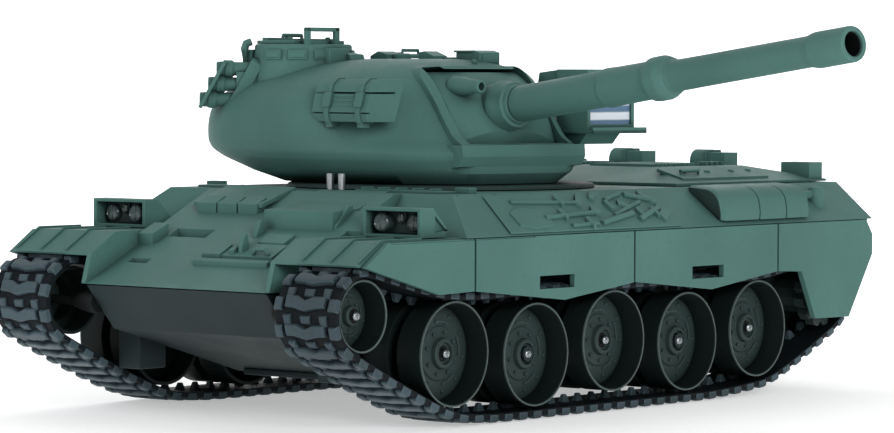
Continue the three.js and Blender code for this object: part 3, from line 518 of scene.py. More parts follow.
def bow_fittings():
    shape = Shape()
    # driver's hood with its side strut, and the stepped deck behind it
    shape.prism([(92.4, 47), (92.4, 54.6), (80, 55.4), (66, 60.4), (66, 52)], 5, 33.4)
    shape.prism([(92, 48), (92, 50.2), (86, 56.4), (84, 56.4), (84, 50)], 33, 34.6)
    shape.prism([(92.3, 47.2), (92.3, 49), (84, 54.8), (84, 51)], 34, 45.8)
    # vision blocks beside it, under a thin cover plate
    for y in (-31, -22.2, -13.4):
        on_bow(shape, 84.6, y, y + 8.2, 3.2, 4.6)
    shape.prism([(84, 54.6), (84, 56), (68, 61), (68, 59)], -33, -3.6)
    # small block and lip by the right guard
    shape.prism([(104.6, 42), (104.6, 46.4), (97, 49.6), (97, 46)], -37.8, -31.6)
    # tow hook cover, its hooks and pins, and the splash strip below
    on_bow(shape, 110.4, -4.6, 24.6, 0.9, 7.4)
    on_bow(shape, 111, -3.6, 3.4, 1.6, 6)
    on_bow(shape, 102.6, 11.5, 22.6, 1.2, 5.2)
    on_bow(shape, 114.9, -4.4, 26.6, 1.5, 1.7)
    on_bow(shape, 109.6, 6, 8, 2.2, 7)
    shape.prism([(108.6, 41), (108.6, 44), (107, 47.6), (105.8, 47.6), (105.4, 43)], 9, 10.6)
    shape.prism([(98.4, 45), (98.2, 47), (96, 51.4), (94.8, 51.4), (93.6, 48)], 5.4, 7.2)
    shape.bar([(109.4, 16, 41.4), (109.6, 17.6, 43), (109.6, 21, 43), (109.4, 22.6, 41.4)], 0.6)
    # ribs of the track guards
    for s in (1, -1):
        for y in (49.4, 60.6, 71.6):
            low, high = sorted((s * y, s * (y + 0.8)))
            shape.prism(
                [(124.4, 40.8), (114.4, 46.7), (96, 46.7), (96, 47.9), (114.7, 47.9),
                 (124.8, 41.8)], low, high,
            )
    # ribbed strips and latches in front of the turret
    shape.box(55, 62, 16, 52, 59.4, 60.6)
    for k in range(5):
        shape.box(55.8, 61.2, 18 + 7 * k, 18.8 + 7 * k, 60.4, 61.3)
    shape.box(55, 62, -52, -20, 59.4, 60.6)
    for k in range(4):
        shape.bolt(52.6, -50 + 9 * k, 59.5, 1.1, 1.0, "z")
    shape.box(50, 53.6, 50, 56, 59.4, 61.6)
    shape.box(50, 53.6, -56, -50, 59.4, 61.6)
    piece("bow_fittings", shape, "hull", GREEN, bevel=0.25)


def lower_hull():
    shape = Shape().prism(
        [(127.7, 31), (115.6, 16.7), (76, 5.3), (58, 0), (-118, 0), (-138, 12), (-143.5, 31)],
        -38, 38,
    )
    cut = [
        Shape().box(-72.3, -9.7, -20.3, 20.3, -1, 2.6),
        Shape().box(22, 28, -7, 7, -1, 2.6),
        Shape().box(-60, 50, -34, 34, 2.9, 34),
    ]
    piece("tub", shape, "hull", DARK, ["lower_hull"], bevel=0.5, cut=cut)
    blocks = Shape()
    for s in (1, -1):
        low, high = sorted((s * 37.5, s * 47))
        blocks.box(92, 104, low, high, 3, 20)
    blocks.box(60, 64, -30, 30, -0.5, 1.6)
    piece("tub_bow_blocks", blocks, "hull", DARK, bevel=0.5)


def axles():
    """Fixed axles with their screws; the second and fourth wheels hang on swing arms."""
    fixed = [(80, AXLE_Z), (0, AXLE_Z), (-80, AXLE_Z), IDLER]
    for side, s, _ in sides():
        shafts = Shape()
        screws = Shape()
        for x, z in fixed:
            shafts.turn([(1.5, s * 37.6), (1.5, s * 66.4)], (x, z), "y", 16)
            shafts.turn([(3.6, s * 38), (3.6, s * 42), (2.4, s * 47.5)], (x, z), "y", 20)
            shafts.turn([(2.5, s * 66.2), (2.5, s * 67.2), (2.1, s * 67.6)], (x, z), "y", 24)
            add_screw(screws, x, z, s)
        piece(f"axles_{side}", shafts, "hull", BLACK, bevel=0.2)
        piece(f"axle_screws_{side}", screws, "hull", STEEL, bevel=0.1)
        for number, x in ((2, 40), (4, -40)):
            name = f"arm_{side}_{number}"
            screw = add_screw(Shape(), x, ARM_AXLE_Z, s)
            piece(f"{name}_screw", screw, name, STEEL, bevel=0.1)


def add_screw(shape, x, z, s):
    """A screw head with a cross on its face, on the side with the sign s."""
    head = [(1.5, s * 67.2), (1.5, s * 68.7), (1.1, s * 69.2), (0.5, s * 69.2)]
    shape.turn(head, (x, z), "y", 20)
    for a, b in ((1.0, 0.2), (0.2, 1.0)):
        corners = [(x - a, z - b), (x + a, z - b), (x + a, z + b), (x - a, z + b)]
        shape.prism(corners, s * 69.0, s * 69.4)
    return shape


def skirts():
    outline = [
        (125, 39.9), (90.9, 30.6), (74.1, 31), (29.6, 26.5), (-7.3, 30.6), (-49.3, 26.5),
        (-87, 31), (-101.6, 30.4), (-110, 14), (-130.5, 13.7), (-145, 35), (-145, 41.8),
        (-141.2, 46.9), (114.5, 46.9),
    ]
    for side, _, matrix in sides():
        cuts = [Shape().box(x, x + 17.6, 70, 80, 30.3, 34.4) for x in (24.7, -55.9)]
        cuts += [Shape().box(x - 0.45, x + 0.45, 73.9, 80, 20, 50) for x in (74, -6.8, -87.4)]
        cuts.append(Shape().box(44.8, 114, 74.9, 80, 46.4, 50))
        bolts = Shape()
        for x in (74, -6.8, -87.4):
            for dx in (-2.7, 2.7):
                for z in (45.2, 43.6, 33.5, 31.9 if x > 0 else 35):
                    bolts.bolt(x + dx, z, 75, 0.3, 0.36, "y")
        bolts.bolt(34, 45.4, 75, 0.3, 0.45, "y")
        bolts.bolt(-46, 45.4, 75, 0.3, 0.45, "y")
        shape = Shape().prism(outline, 73.3, 75.2)
        piece(
            f"skirt_{side}_plate", shape, "hull", GREEN, [f"skirt_{side}"],
            bevel=0.3, cut=cuts, matrix=matrix,
        )
        piece(f"skirt_{side}_bolts", bolts, "hull", GREEN, bevel=0, matrix=matrix)


def slope_z(y):
    """The height of the hull's sloping side."""
    return SIDE_Z + (75.3 - y) * 12.5 / 15.3


def on_slope(shape, corners, low, high):
    """A slab on the sloping side: outline of (x, y), between two heights above the slope."""
    return shape.loft([[(x, y, slope_z(y) + t) for x, y in corners] for t in (low, high)])


def handle(shape, start, stop, radius):
    """A round rod lying half sunk in the slope."""
    ends = [(x, y, slope_z(y) + 0.9) for x, y in (start, stop)]
    return shape.bar(ends, radius, 12)


def limb(start, stop, width):
    """The four corners of a straight strip between two points."""
    (x0, y0), (x1, y1) = start, stop
    length = math.hypot(x1 - x0, y1 - y0)
    nx, ny = -(y1 - y0) / length * width / 2, (x1 - x0) / length * width / 2
    return [(x0 + nx, y0 + ny), (x1 + nx, y1 + ny), (x1 - nx, y1 - ny), (x0 - nx, y0 - ny)]


TOOL_RODS = (
    ((34, 70.4), (4, 69.2), 1.0), ((44, 64.4), (12, 65.4), 0.8), ((24, 73.6), (10, 73.2), 0.8),
    ((8, 73.2), (-12, 70.2), 1.1), ((-2, 70.6), (-21, 66), 0.9), ((-13, 72.4), (-28, 68.6), 1.1),
    ((-16, 63.2), (-28, 65.6), 1.1), ((-4, 64.8), (-14, 62.8), 0.9),
)
TOOL_HEADS = (
    ((7.6, 68.2), (5, 70.4), 2.2), ((12, 66.8), (8, 63.4), 2.0), ((3, 64.8), (-1, 62.6), 1.8),
    ((-25, 72.8), (-30.5, 70.4), 2.6), ((-24, 63), (-29, 67.2), 1.8),
    ((-9, 66.2), (-13, 68.4), 1.6),
)
TOOL_CLAMPS = ((-3, 67.4), (-16, 70.6), (20, 64.9), (24, 70), (-24, 70.4), (14, 73.2))


def side_fittings():
    """The moulded tools on each sloping side, and the bin and guard beside them."""
    for side, _, matrix in sides():
        panel = Shape()
        on_slope(panel, [(53.7, 61.4), (56.4, 74.8), (-33, 74.8), (-30, 61.4)], 0.2, 0.7)
        on_slope(panel, [(49, 72.8), (42, 74), (33, 73.2), (31, 70), (34, 67.6), (43, 66.6),
                         (49, 68.4)], 0.5, 1.3)
        for start, stop, radius in TOOL_RODS:
            handle(panel, start, stop, radius)
        for start, stop, width in TOOL_HEADS:
            on_slope(panel, limb(start, stop, width), 0.5, 1.9)
        for x, y in TOOL_CLAMPS:
            on_slope(panel, limb((x - 0.9, y), (x + 0.9, y + 0.4), 3.2), 0.5, 2.2)
        piece(
            f"tools_{side}", panel, "hull", GREEN, [f"tool_panel_{side}"],
            bevel=0.22, matrix=matrix,
        )
        bin_shape(side, matrix)
        guard_shape(side, matrix)


def bin_shape(side, matrix):
    """The rounded bin, with two joints round it and a slanted front in painted shade."""
    outline = [(74.6, 48.6), (74.9, 51), (74.6, 53.4)]
    for k in range(1, 9):
        a = math.radians(10 + k * 10)
        outline.append((67.4 + 7.2 * math.cos(a), 53.2 + 6.6 * math.sin(a)))
    outline += [(61.2, 60.3), (61.2, 59)]
    body = Shape().loft([
        [
            (x + lean * (z - 54) * 0.1, y - shrink * (y - 66) / 9, z - shrink * (z - 52) / 9)
            for y, z in outline
        ]
        for x, lean, shrink in ((-106.8, 0, 0.8), (-106, 0, 0), (-57, 1, 0), (-55.4, 1, 0.8))
    ])
    joints = [Shape().prism([(80, 47), (80, 64), (60, 64), (60, 47)], x, x + 0.5, "x")
              for x in (-77.6, -93.2)]
    core = Shape().prism(
        [(66 + (y - 66) * 0.93, 53 + (z - 53) * 0.93) for y, z in outline], -104, -60, "x",
    )
    piece(
        f"bin_{side}", body, "hull", GREEN, [f"stowage_bin_{side}"],
        bevel=0.3, cut=joints, matrix=matrix,
    )
    # the core shows through the joints in painted shade
    piece(f"bin_{side}_core", core, "hull", SHADE, bevel=0, matrix=matrix)
    face = Shape().loft([
        [(x + (z - 54) * 0.1, 66 + (y - 66) * 0.9, 54.2 + (z - 54.2) * 0.9) for y, z in outline]
        for x in (-57, -55.1)
    ])
    piece(f"bin_{side}_front", face, "hull", SHADE, bevel=0.1, matrix=matrix)


def guard_shape(side, matrix):
    """The headlight guard with its lamps."""
    shape = Shape().prism(
        [(93, 47.4), (93, 56.5), (87, 56.5), (80.6, 50.4), (80.6, 47.4)], 46, 69.3,
    )
    opening = Shape().box(87.2, 95, 47.4, 67.9, 48.4, 55.4)
    notch = Shape().prism([(86, 49), (86, 54), (81, 49.6)], 68.2, 72)
    piece(
        f"lamp_guard_{side}", shape, "hull", GREEN, [f"headlight_guard_{side}"],
        bevel=0.4, cut=[opening, notch], matrix=matrix,
    )
    plate = Shape().box(87.3, 88.4, 47.6, 67.7, 48.6, 55.2)
    plate.box(88, 89.2, 56.6, 60.4, 53, 55)
    # the plate behind the lamps is in painted shade
    piece(f"lamp_plate_{side}", plate, "hull", SHADE, bevel=0.2, matrix=matrix)
    lamps = Shape()
    for y, z, radius, front in (
        (52, 51.9, 2.9, 91.6), (58.4, 53.2, 1.5, 89.8), (63.8, 51.9, 2.7, 90),
    ):
        bezel = [
            (radius, 88), (radius, front - 0.7), (radius * 0.86, front),
            (radius * 0.8, front - 0.4), (radius * 0.4, front - 0.1),
        ]
        lamps.turn(bezel, (y, z), "x", 28)
        reach = radius * 0.8
        lamps.box(front - 0.5, front + 0.05, y - reach, y + reach, z - 0.18, z + 0.18)
        lamps.box(front - 0.5, front + 0.05, y - 0.18, y + 0.18, z - reach, z + reach)
    piece(f"lamps_{side}", lamps, "hull", GLASS, [f"headlamps_{side}"], bevel=0.12, matrix=matrix)


def engine_deck():
    shape = Shape().loft([
        [(-143, -57, 60), (-54, -57, 60), (-54, 57, 60), (-143, 57, 60)],
        [(-143, -57, 60.8), (-54, -57, 60.8), (-54, 57, 60.8), (-143, 57, 60.8)],
        [(-116, -40, 65.6), (-69, -40, 65.6), (-69, 40, 65.6), (-116, 40, 65.6)],
    ])
    grooves = [Shape().box(x, x + 0.5, -38, 38, 65.1, 67) for x in (-72, -88, -104)]
    grooves += [Shape().box(-110, -72, y, y + 0.5, 65.1, 67) for y in (-36, -4, 3.5, 35.5)]
    piece("engine_cover", shape, "hull", GREEN, ["engine_deck"], bevel=0.5, cut=grooves)
    details = Shape()
    for s in (1, -1):
        for k in range(12):
            x = -73 - k * 2.6
            low, high = sorted((s * 6, s * 33))
            slat = [(x, 65.4), (x - 0.5, 66.5), (x - 1.6, 66.5), (x - 1.2, 65.4)]
            details.prism(slat, low, high)
        y = s * 18
        details.turn([(4.2, y - 7.6), (4.2, y - 0.6)], (-130, 66.4), "y", 32)
        details.box(-134, -126, y, y + 7.4, 62, 69.6)
        details.box(-134.4, -125.6, y - 1, y, 62, 70.4)
        for k in range(4):
            details.box(-112 + k * 3, -110.6 + k * 3, s * 30, s * 30 + 5, 65, 66.9)
        outline = [(-62, s * 43), (-62, s * 54), (-112, s * 54), (-112, s * 43)]
        details.loft([[(x, y, slope_deck(y) + t) for x, y in outline] for t in (-0.5, 0.7)])
        for x in (-70, -84, -98, -108):
            details.bolt(x, s * 48, slope_deck(48) + 0.4, 0.9, 1.1, "z")
        grip = ((-66, 63), (-66, 64.6), (-76, 64.6), (-76, 63))
        details.bar([(x, s * 50, z) for x, z in grip], 0.6)
        details.bolt(-121, s * 67.4, 51, 7.4, 3.1, "z", 24)
        details.bar([(-113, s * 66.4, 55.6), (-119, s * 66.8, 56)], 1.6)
    details.box(-142, -134, 44, 56, 60, 66.6)
    details.box(-124, -116, -8, 8, 62, 65.2)
    piece("engine_cover_fittings", details, "hull", GREEN, bevel=0.22)


def slope_deck(y):
    """The height of the engine cover's long slopes."""
    return 60.8 + (57 - abs(y)) * 4.8 / 17


# ---- running gear --------------------------------------------------------------------------
def disc_wheel(radius, dish, face, inner, bolts, groove):
    """A deep rim with a bolted disc set back in it; made about the Y axis through (0, 0)."""
    middle = (face + inner) / 2
    back = face - 7.4
    rim = Shape().turn([
        (dish + 0.5, face), (radius, face), (radius, middle + 1.9), (groove, middle + 1.9),
        (groove, middle - 1.9), (radius, middle - 1.9), (radius, inner), (dish, inner),
        (dish, middle - 3.1), (groove - 1.2, middle - 3.1), (groove - 1.2, back - 1),
        (dish - 0.6, back - 1), (dish - 0.2, back),
    ], (0, 0), "y", 56, closed=True)
    disc = Shape()
    k = dish / 14.2
    disc.turn([
        (1.9, back - 1.6), (dish - 0.3, back - 1.2), (dish - 0.3, back - 0.1),
        (12.8 * k, back + 0.3), (8.2 * k, back + 0.7), (7.8 * k, back + 1.2),
        (4.7 * k, back + 1.8), (4.3 * k, back + 3.4), (3.3 * k, back + 3.8),
        (3.0 * k, back + 2.6), (1.9, back + 2.6),
    ], (0, 0), "y", 48, closed=True)
    for i in range(bolts):
        a = 2 * math.pi * (i + 0.3) / bolts
        x, z = 11.4 * k * math.cos(a), 11.4 * k * math.sin(a)
        disc.bolt(x, z, back + 0.2, 0.8, 0.62 * k, "y", 8)
    for i in range(8):
        a = 2 * math.pi * i / 8
        x, z = 6.3 * k * math.cos(a), 6.3 * k * math.sin(a)
        disc.bolt(x, z, back + 1.2, 1.0, 0.6 * k, "y", 8)
    for i in range(5):
        start = 2 * math.pi * (i + 0.15) / 5
        arc = [start + math.radians(j * 9) for j in range(5)]
        outline = [(9.6 * k * math.cos(a), 9.6 * k * math.sin(a)) for a in arc]
        outline += [(8.9 * k * math.cos(a), 8.9 * k * math.sin(a)) for a in reversed(arc)]
        disc.prism(outline, back + 0.3, back + 1.1)
    return rim, disc


def add_wheel(name, body, radius, face, rim, disc, matrix):
    """The wheel's three pieces: rim, disc, and a lighter ring on the rim's face, a painted
    highlight on its lit outer edge.
    """
    edge = Shape().turn([
        (radius - 0.5, face - 0.5), (radius + 0.05, face - 0.5), (radius + 0.05, face + 0.04),
        (radius - 0.15, face + 0.1), (radius - 0.4, face + 0.1), (radius - 0.55, face - 0.1),
    ], (0, 0), "y", 72, closed=True)
    piece(f"{name}_rim", rim, body, RIM, [name], bevel=0.2, matrix=matrix)
    piece(f"{name}_disc", disc, body, WHEEL, bevel=0.12, matrix=matrix)
    # the edge ring is a painted highlight
    piece(f"{name}_edge", edge, body, RIM_HIGHLIGHT, bevel=0, matrix=matrix)


def wheels():
    places = [(80, AXLE_Z), (40, ARM_AXLE_Z), (0, AXLE_Z), (-40, ARM_AXLE_Z), (-80, AXLE_Z)]
    radius, face = 16.1, 72.1
    idler_radius, idler_face = 10.8, 71.4
    for side, _, matrix in sides():
        for number, (x, z) in enumerate(places, 1):
            rim, disc = disc_wheel(radius, 14.9, face, 49, 10, 12.4)
            turned = Matrix.Rotation(number * 1.3, 4, "Y")
            place = matrix @ Matrix.Translation((x, 0, z)) @ turned
            name = f"road_wheel_{side}_{number}"
            add_wheel(name, f"wheel_{side}_{number}", radius, face, rim, disc, place)
        rim, disc = disc_wheel(idler_radius, 9.8, idler_face, 49.6, 8, 8.4)
        place = matrix @ Matrix.Translation((IDLER[0], 0, IDLER[1]))
        name = f"idler_wheel_{side}"
        add_wheel(name, f"idler_{side}", idler_radius, idler_face, rim, disc, place)


def belt_path():
    """Even steps along the belt's inner face, running forward along the ground: place, heading."""
    bottom = -7.6
    top = 28.4

    def circle(cx, cz, radius, start, stop, steps):
        return [
            (cx + radius * math.cos(math.radians(start + (stop - start) * i / steps)),
             cz + radius * math.sin(math.radians(start + (stop - start) * i / steps)))
            for i in range(steps + 1)
        ]

    knots = [(-50, bottom), (-44, bottom), (0, bottom), (44, bottom), (50, bottom),
             (66, bottom + 0.4), (80, bottom + 2.2)]
    knots += circle(*IDLER, 11.5, -64, 96, 14)
    knots += [(84, top + 0.4), (40, top), (0, top), (-40, top), (-82, top)]
    knots += circle(*SPROCKET, 12.1, 84, 246, 14)
    knots += [(-88, bottom + 3.2), (-74, bottom + 1.3)]
    knots = [Vector(k) for k in knots]
    # a spline through the knots, with knot spacing by the square root of distance
    dense = []
    count = len(knots)
    for i in range(count):
        p = [knots[(i + j - 1) % count] for j in range(4)]
        t = [0.0]
        for a, b in zip(p, p[1:]):
            t.append(t[-1] + math.sqrt((b - a).length))
        for j in range(24):
            u = t[1] + (t[2] - t[1]) * j / 24
            a1 = p[0].lerp(p[1], (u - t[0]) / (t[1] - t[0]))
            a2 = p[1].lerp(p[2], (u - t[1]) / (t[2] - t[1]))
            a3 = p[2].lerp(p[3], (u - t[2]) / (t[3] - t[2]))
            b1 = a1.lerp(a2, (u - t[0]) / (t[2] - t[0]))
            b2 = a2.lerp(a3, (u - t[1]) / (t[3] - t[1]))
            dense.append(b1.lerp(b2, (u - t[1]) / (t[2] - t[1])))
    lengths = [0.0]
    for a, b in zip(dense, dense[1:] + dense[:1]):
        lengths.append(lengths[-1] + (b - a).length)
    total = lengths[-1]

    def at(s):
        s %= total
        low, high = 0, len(dense)
        while high - low > 1:
            middle = (low + high) // 2
            if lengths[middle] <= s:
                low = middle
            else:
                high = middle
        a, b = dense[low], dense[(low + 1) % len(dense)]
        share = (s - lengths[low]) / (lengths[low + 1] - lengths[low])
        return a.lerp(b, share), (b - a).normalized()

    return at, total


# the middle block of a link as (along, across)
CHEVRON = [
    (1.9, 52.6), (1.9, 57), (0.5, 60.3), (1.9, 63.6), (1.9, 68),
    (-1.7, 68), (-1.9, 64.6), (-2.9, 60.3), (-1.9, 56), (-1.7, 52.6),
]


def link_block(shape, s0, s1, y0, y1, top):
    """A block with sloping walls on a link, up to a height over the belt's inner face."""
    ring = [(s0, y0), (s1, y0), (s1, y1), (s0, y1)]
    small = [
        (s0 + 0.5, y0 + 0.4), (s1 - 0.5, y0 + 0.4), (s1 - 0.5, y1 - 0.4), (s0 + 0.5, y1 - 0.4),
    ]
    shape.loft([
        [(*p, 0.3) for p in ring], [(*p, top - 0.5) for p in ring], [(*p, top) for p in small],
    ])


def link_shape():
    """One link's raised parts: (along, across, out) from the belt's inner face."""
    shape = Shape()
    narrow = [(s * 0.74 - 0.05, 60.3 + (y - 60.3) * 0.95) for s, y in CHEVRON]
    shape.loft([
        [(s, y, 1.2) for s, y in CHEVRON], [(s, y, 2.5) for s, y in CHEVRON],
        [(s, y, 3.0) for s, y in narrow],
    ])
    for y0, y1 in ((48.2, 51.2), (69.4, 72.4)):
        link_block(shape, -2.6, 1.4, y0, y1, 2.7)
    for y0, y1 in ((51.9, 54.6), (66, 68.7)):
        link_block(shape, 1.2, 4.6, y0, y1, 2.1)
    link_block(shape, 1.6, 4.4, 58.4, 62.2, 1.9)
    shape.loft([
        [(-1.8, 59.3, 0.4), (1.8, 59.3, 0.4), (1.8, 61.7, 0.4), (-1.8, 61.7, 0.4)],
        [(-0.7, 59.8, -2.5), (0.7, 59.8, -2.5), (0.7, 61.2, -2.5), (-0.7, 61.2, -2.5)],
    ])
    return shape


def tracks():
    """Each side's belt: a plain band, and the raised parts of all its links."""
    at, total = belt_path()
    links = round(total / LINK_PITCH)
    for side, _, matrix in sides():
        band = []
        steps = links * 3
        for i in range(steps):
            p, d = at(total * i / steps)
            out = Vector((d.y, -d.x))
            ring = []
            for y, t in ((48.4, 0.0), (72.2, 0.0), (72.2, 1.5), (48.4, 1.5)):
                q = p + out * t
                ring.append((q.x, y, q.y))
            band.append(ring)
        shape = Shape().loft(band, closed=True)
        piece(
            f"track_{side}_band", shape, "hull", BELT, [f"track_{side}"],
            bevel=0, matrix=matrix, sharp=60,
        )
        pads = Shape()
        for i in range(links):
            p, d = at(total * (i + 0.5) / links)
            frame_matrix = Matrix((
                (d.x, 0, d.y, p.x), (0, 1, 0, 0), (d.y, 0, -d.x, p.y), (0, 0, 0, 1),
            ))
            pads.add(link_shape(), frame_matrix)
        piece(f"track_{side}_pads", pads, "hull", RUBBER, bevel=0.18, matrix=matrix, segments=1)


# ---- turret --------------------------------------------------------------------------------
# the turret at rising heights: (height, front, rear, half width)
LEVELS = [
    (61.6, 37, -44, 43), (65, 40, -57.5, 49.8), (69.2, 40.6, -73.6, 53.8),
    (71.6, 40.2, -79.8, 55.1), (73.6, 37.4, -82.6, 55.4), (75.8, 33.8, -83.6, 55.5),
    (81, 29.4, -84, 55), (86.5, 25.6, -83, 53), (91.5, 22.2, -78, 48.5), (96, 19, -70, 41.5),
    (99.4, 15, -59, 33), (101.4, 9, -44, 23), (102, 2, -26, 11),
]
CREASE = 2  # the first level of the rounded upper part


def smooth_levels(steps=4):
    """The turret's levels, with smooth steps between them above the crease."""
    out = list(LEVELS[:CREASE])
    for i in range(CREASE, len(LEVELS) - 1):
        rows = [LEVELS[min(max(i + j - 1, CREASE), len(LEVELS) - 1)] for j in range(4)]
        for k in range(steps):
            t = k / steps
            out.append(tuple(
                0.5 * (2 * b + (c - a) * t + (2 * a - 5 * b + 4 * c - d) * t * t
                       + (3 * b - a - 3 * c + d) * t ** 3)
                for a, b, c, d in zip(*rows)
            ))
    out.append(LEVELS[-1])
    return out


def turret_rings(grow, levels, count=96):
    """The turret's outline at each level, grown outwards and upwards by a distance."""
    rings = []
    for z, front, rear, half in levels:
        ring = []
        for i in range(count):
            a = 2 * math.pi * (i + 0.5) / count
            c, s = math.cos(a), math.sin(a)
            power = 1.1 if c > 0 else 0.68
            reach = (front + 18) * 1.12 + grow if c > 0 else -18 - rear + grow
            u = -18 + math.copysign(reach * abs(c) ** power, c)
            ring.append((
                min(u, front + grow), math.copysign((half + grow) * abs(s) ** power, s), z + grow,
            ))
        rings.append(ring)
    return rings


def window_outline(margin):
    """The opening in the turret's face as (v, z) points, with round upper corners."""
    half, top, corner = 21.3 + margin, 98 + margin * 0.6, 5.5
    points = [(half, 74.6 - margin * 0.6)]
    for k in range(7):
        a = math.radians(90 * k / 6)
        points.append((
            half - corner + corner * math.cos(a), top - corner + corner * math.sin(a),
        ))
    return points + [(-v, z) for v, z in reversed(points)]


def arc_points(radius, start, stop, steps):
    """An arc of (u, z) points about the gun's trunnion; angles in degrees."""
    return [
        (radius * math.cos(math.radians(start + (stop - start) * i / steps)),
         66 + radius * math.sin(math.radians(start + (stop - start) * i / steps)))
        for i in range(steps + 1)
    ]


def turret_shell():
    """The cast shell, hollow, with a rim round the window that the gun shield swings in."""
    levels = smooth_levels()
    body = Shape().loft(turret_rings(0, levels))
    rim = make_object("rim", Shape().loft(turret_rings(1.4, levels)), TURRET)
    frame_tool = Shape().prism(window_outline(2.8), 10.8, 80, "x")
    boolean(rim, [frame_tool], TURRET, "INTERSECT")
    inner_levels = [(82.4 + (z - 80) * 0.92, f, r, h) for z, f, r, h in LEVELS if z < 100]
    inner = Shape().loft(turret_rings(-2.4, [(62.4, *inner_levels[0][1:])] + inner_levels, 48))
    chin = Shape().prism(
        [(30, 66.4), (40.4, 67.4), (42, 70.6), (41.6, 74.2), (30, 74.2)], -26.4, 26.4,
    )
    sweep = Shape().prism(
        arc_points(37.9, -1, 62, 24) + [(11, 98.4), (0, 94), (0, 64.4), (36, 64.4)], -21.25, 21.25,
    )
    window = Shape().prism(window_outline(0), 8, 80, "x")
    made = make_object("turret_shell_cast", body, TURRET)
    combine(made, rim, "UNION", use_self=False)
    coaming = Shape().turn([(10.4, 94), (10.4, 101.4), (9.9, 102)], (-34, 15), "z", 48)
    boolean(made, [chin, coaming], TURRET, "UNION")
    boolean(made, [inner, window, sweep], TURRET, "DIFFERENCE")
    modifier = made.modifiers.new("weld", "WELD")
    modifier.merge_threshold = 0.03 * MM
    settle(made)
    round_edges(made, 0.4, 32)
    dress(made, GREEN, "turret", ["turret_shell"], 50)


def turret_ring():
    shape = Shape().turn([
        (24, 56.2), (45.5, 56.2), (45.5, 60), (51, 60), (50.6, 61), (49.8, 61.3), (24, 61.3),
    ], (0, 0), "z", 96, closed=True)
    for s in (1, -1):
        low, high = sorted((s * 23.6, s * 26.6))
        shape.prism([(-9, 60.5), (9, 60.5), (5, 70), (-5, 70)], low, high)
    # the ring stands in painted shade under the turret
    turret_piece("turret_ring", shape, ["turret_base"], look=SHADE, bevel=0.2)


# a shape made along +Z from the barrel's root is laid along the bore, raised 7.3 degrees
BORE = Matrix.Translation((34.9, 0, 86.8)) @ Matrix.Rotation(math.radians(90 - 7.3), 4, "Y")


def gun():
    """The bulged shield, the collar with the port beside it, and the barrel."""
    half = 20.8
    rings = []
    for k in range(25):
        v = -half + 2 * half * k / 24
        radius = 37.4 - 3.2 * (v / half) ** 2
        stop = math.degrees(math.asin(31.6 / radius))
        outline = arc_points(radius, 6, stop, 40) + arc_points(radius - 8, stop, 6, 20)
        rings.append([(u, v, z) for u, z in outline])
    shield = Shape().loft(rings)
    undercut = Shape().prism(
        [(35.1, 79), (32.2, 73), (32.2, 66), (50, 66), (50, 79)], -30, 30,
    )
    turret_piece("mantlet", shield, ["gun_shield"], "gun", bevel=0.25, cut=[undercut], sharp=30)
    boss = Shape().turn([
        (8, -9), (8, -4.4), (8.6, -3), (8.4, -1), (7.6, 0.4), (7.4, 3), (6.5, 3.4),
        (6.3, 4.8), (5.4, 5), (4.1, 5), (4.1, -9),
    ], (0, 0), "z", 56, closed=True)
    collar = Shape().add(boss, BORE)
    port = Shape().turn([
        (0.6, 22), (3.4, 23), (3.2, 27.6), (2.5, 31.4), (2.2, 34), (2.1, 36.2), (1.8, 36.7),
        (1.25, 36.7), (1.2, 33), (0.6, 32.8),
    ], (-14, 93), "x", 28)
    collar.add(port)
    turret_piece("gun_collar", collar, (), "gun", bevel=0.25, sharp=45)
    barrel = Shape().turn([
        (3.7, -4), (3.9, 4.8), (5.7, 5.2), (5.95, 5.8), (5.85, 20), (5.8, 46.4), (5.9, 47),
        (6.3, 47.6), (6.25, 50.4), (6.15, 50.8), (6.0, 67), (6.1, 67.8), (6.9, 69), (7.0, 70),
        (7.0, 73.6), (6.8, 74.4), (6.1, 76), (6.0, 76.4), (5.4, 77), (5.2, 78.4), (4.95, 79),
        (4.85, 90), (4.75, 135.6), (4.85, 136.2), (5.4, 138.6), (5.5, 139.4), (5.45, 152.6),
        (5.2, 153.4), (4.6, 153.5), (3.9, 153.4), (3.75, 152.8), (3.7, 109), (0.8, 108.6),
    ], (0, 0), "z", 56)
    barrel = Shape().add(barrel, BORE)
    turret_piece("barrel", barrel, ["gun_barrel"], "gun", bevel=0.12, sharp=50)
    wall = [(3.68, 109.2), (3.68, 152.4), (3.5, 152.4), (3.5, 109.2)]
    tube = Shape().add(Shape().turn(wall, (0, 0), "z", 40, closed=True), BORE)
    turret_piece("barrel_bore", tube, (), "gun", BLACK, bevel=0)


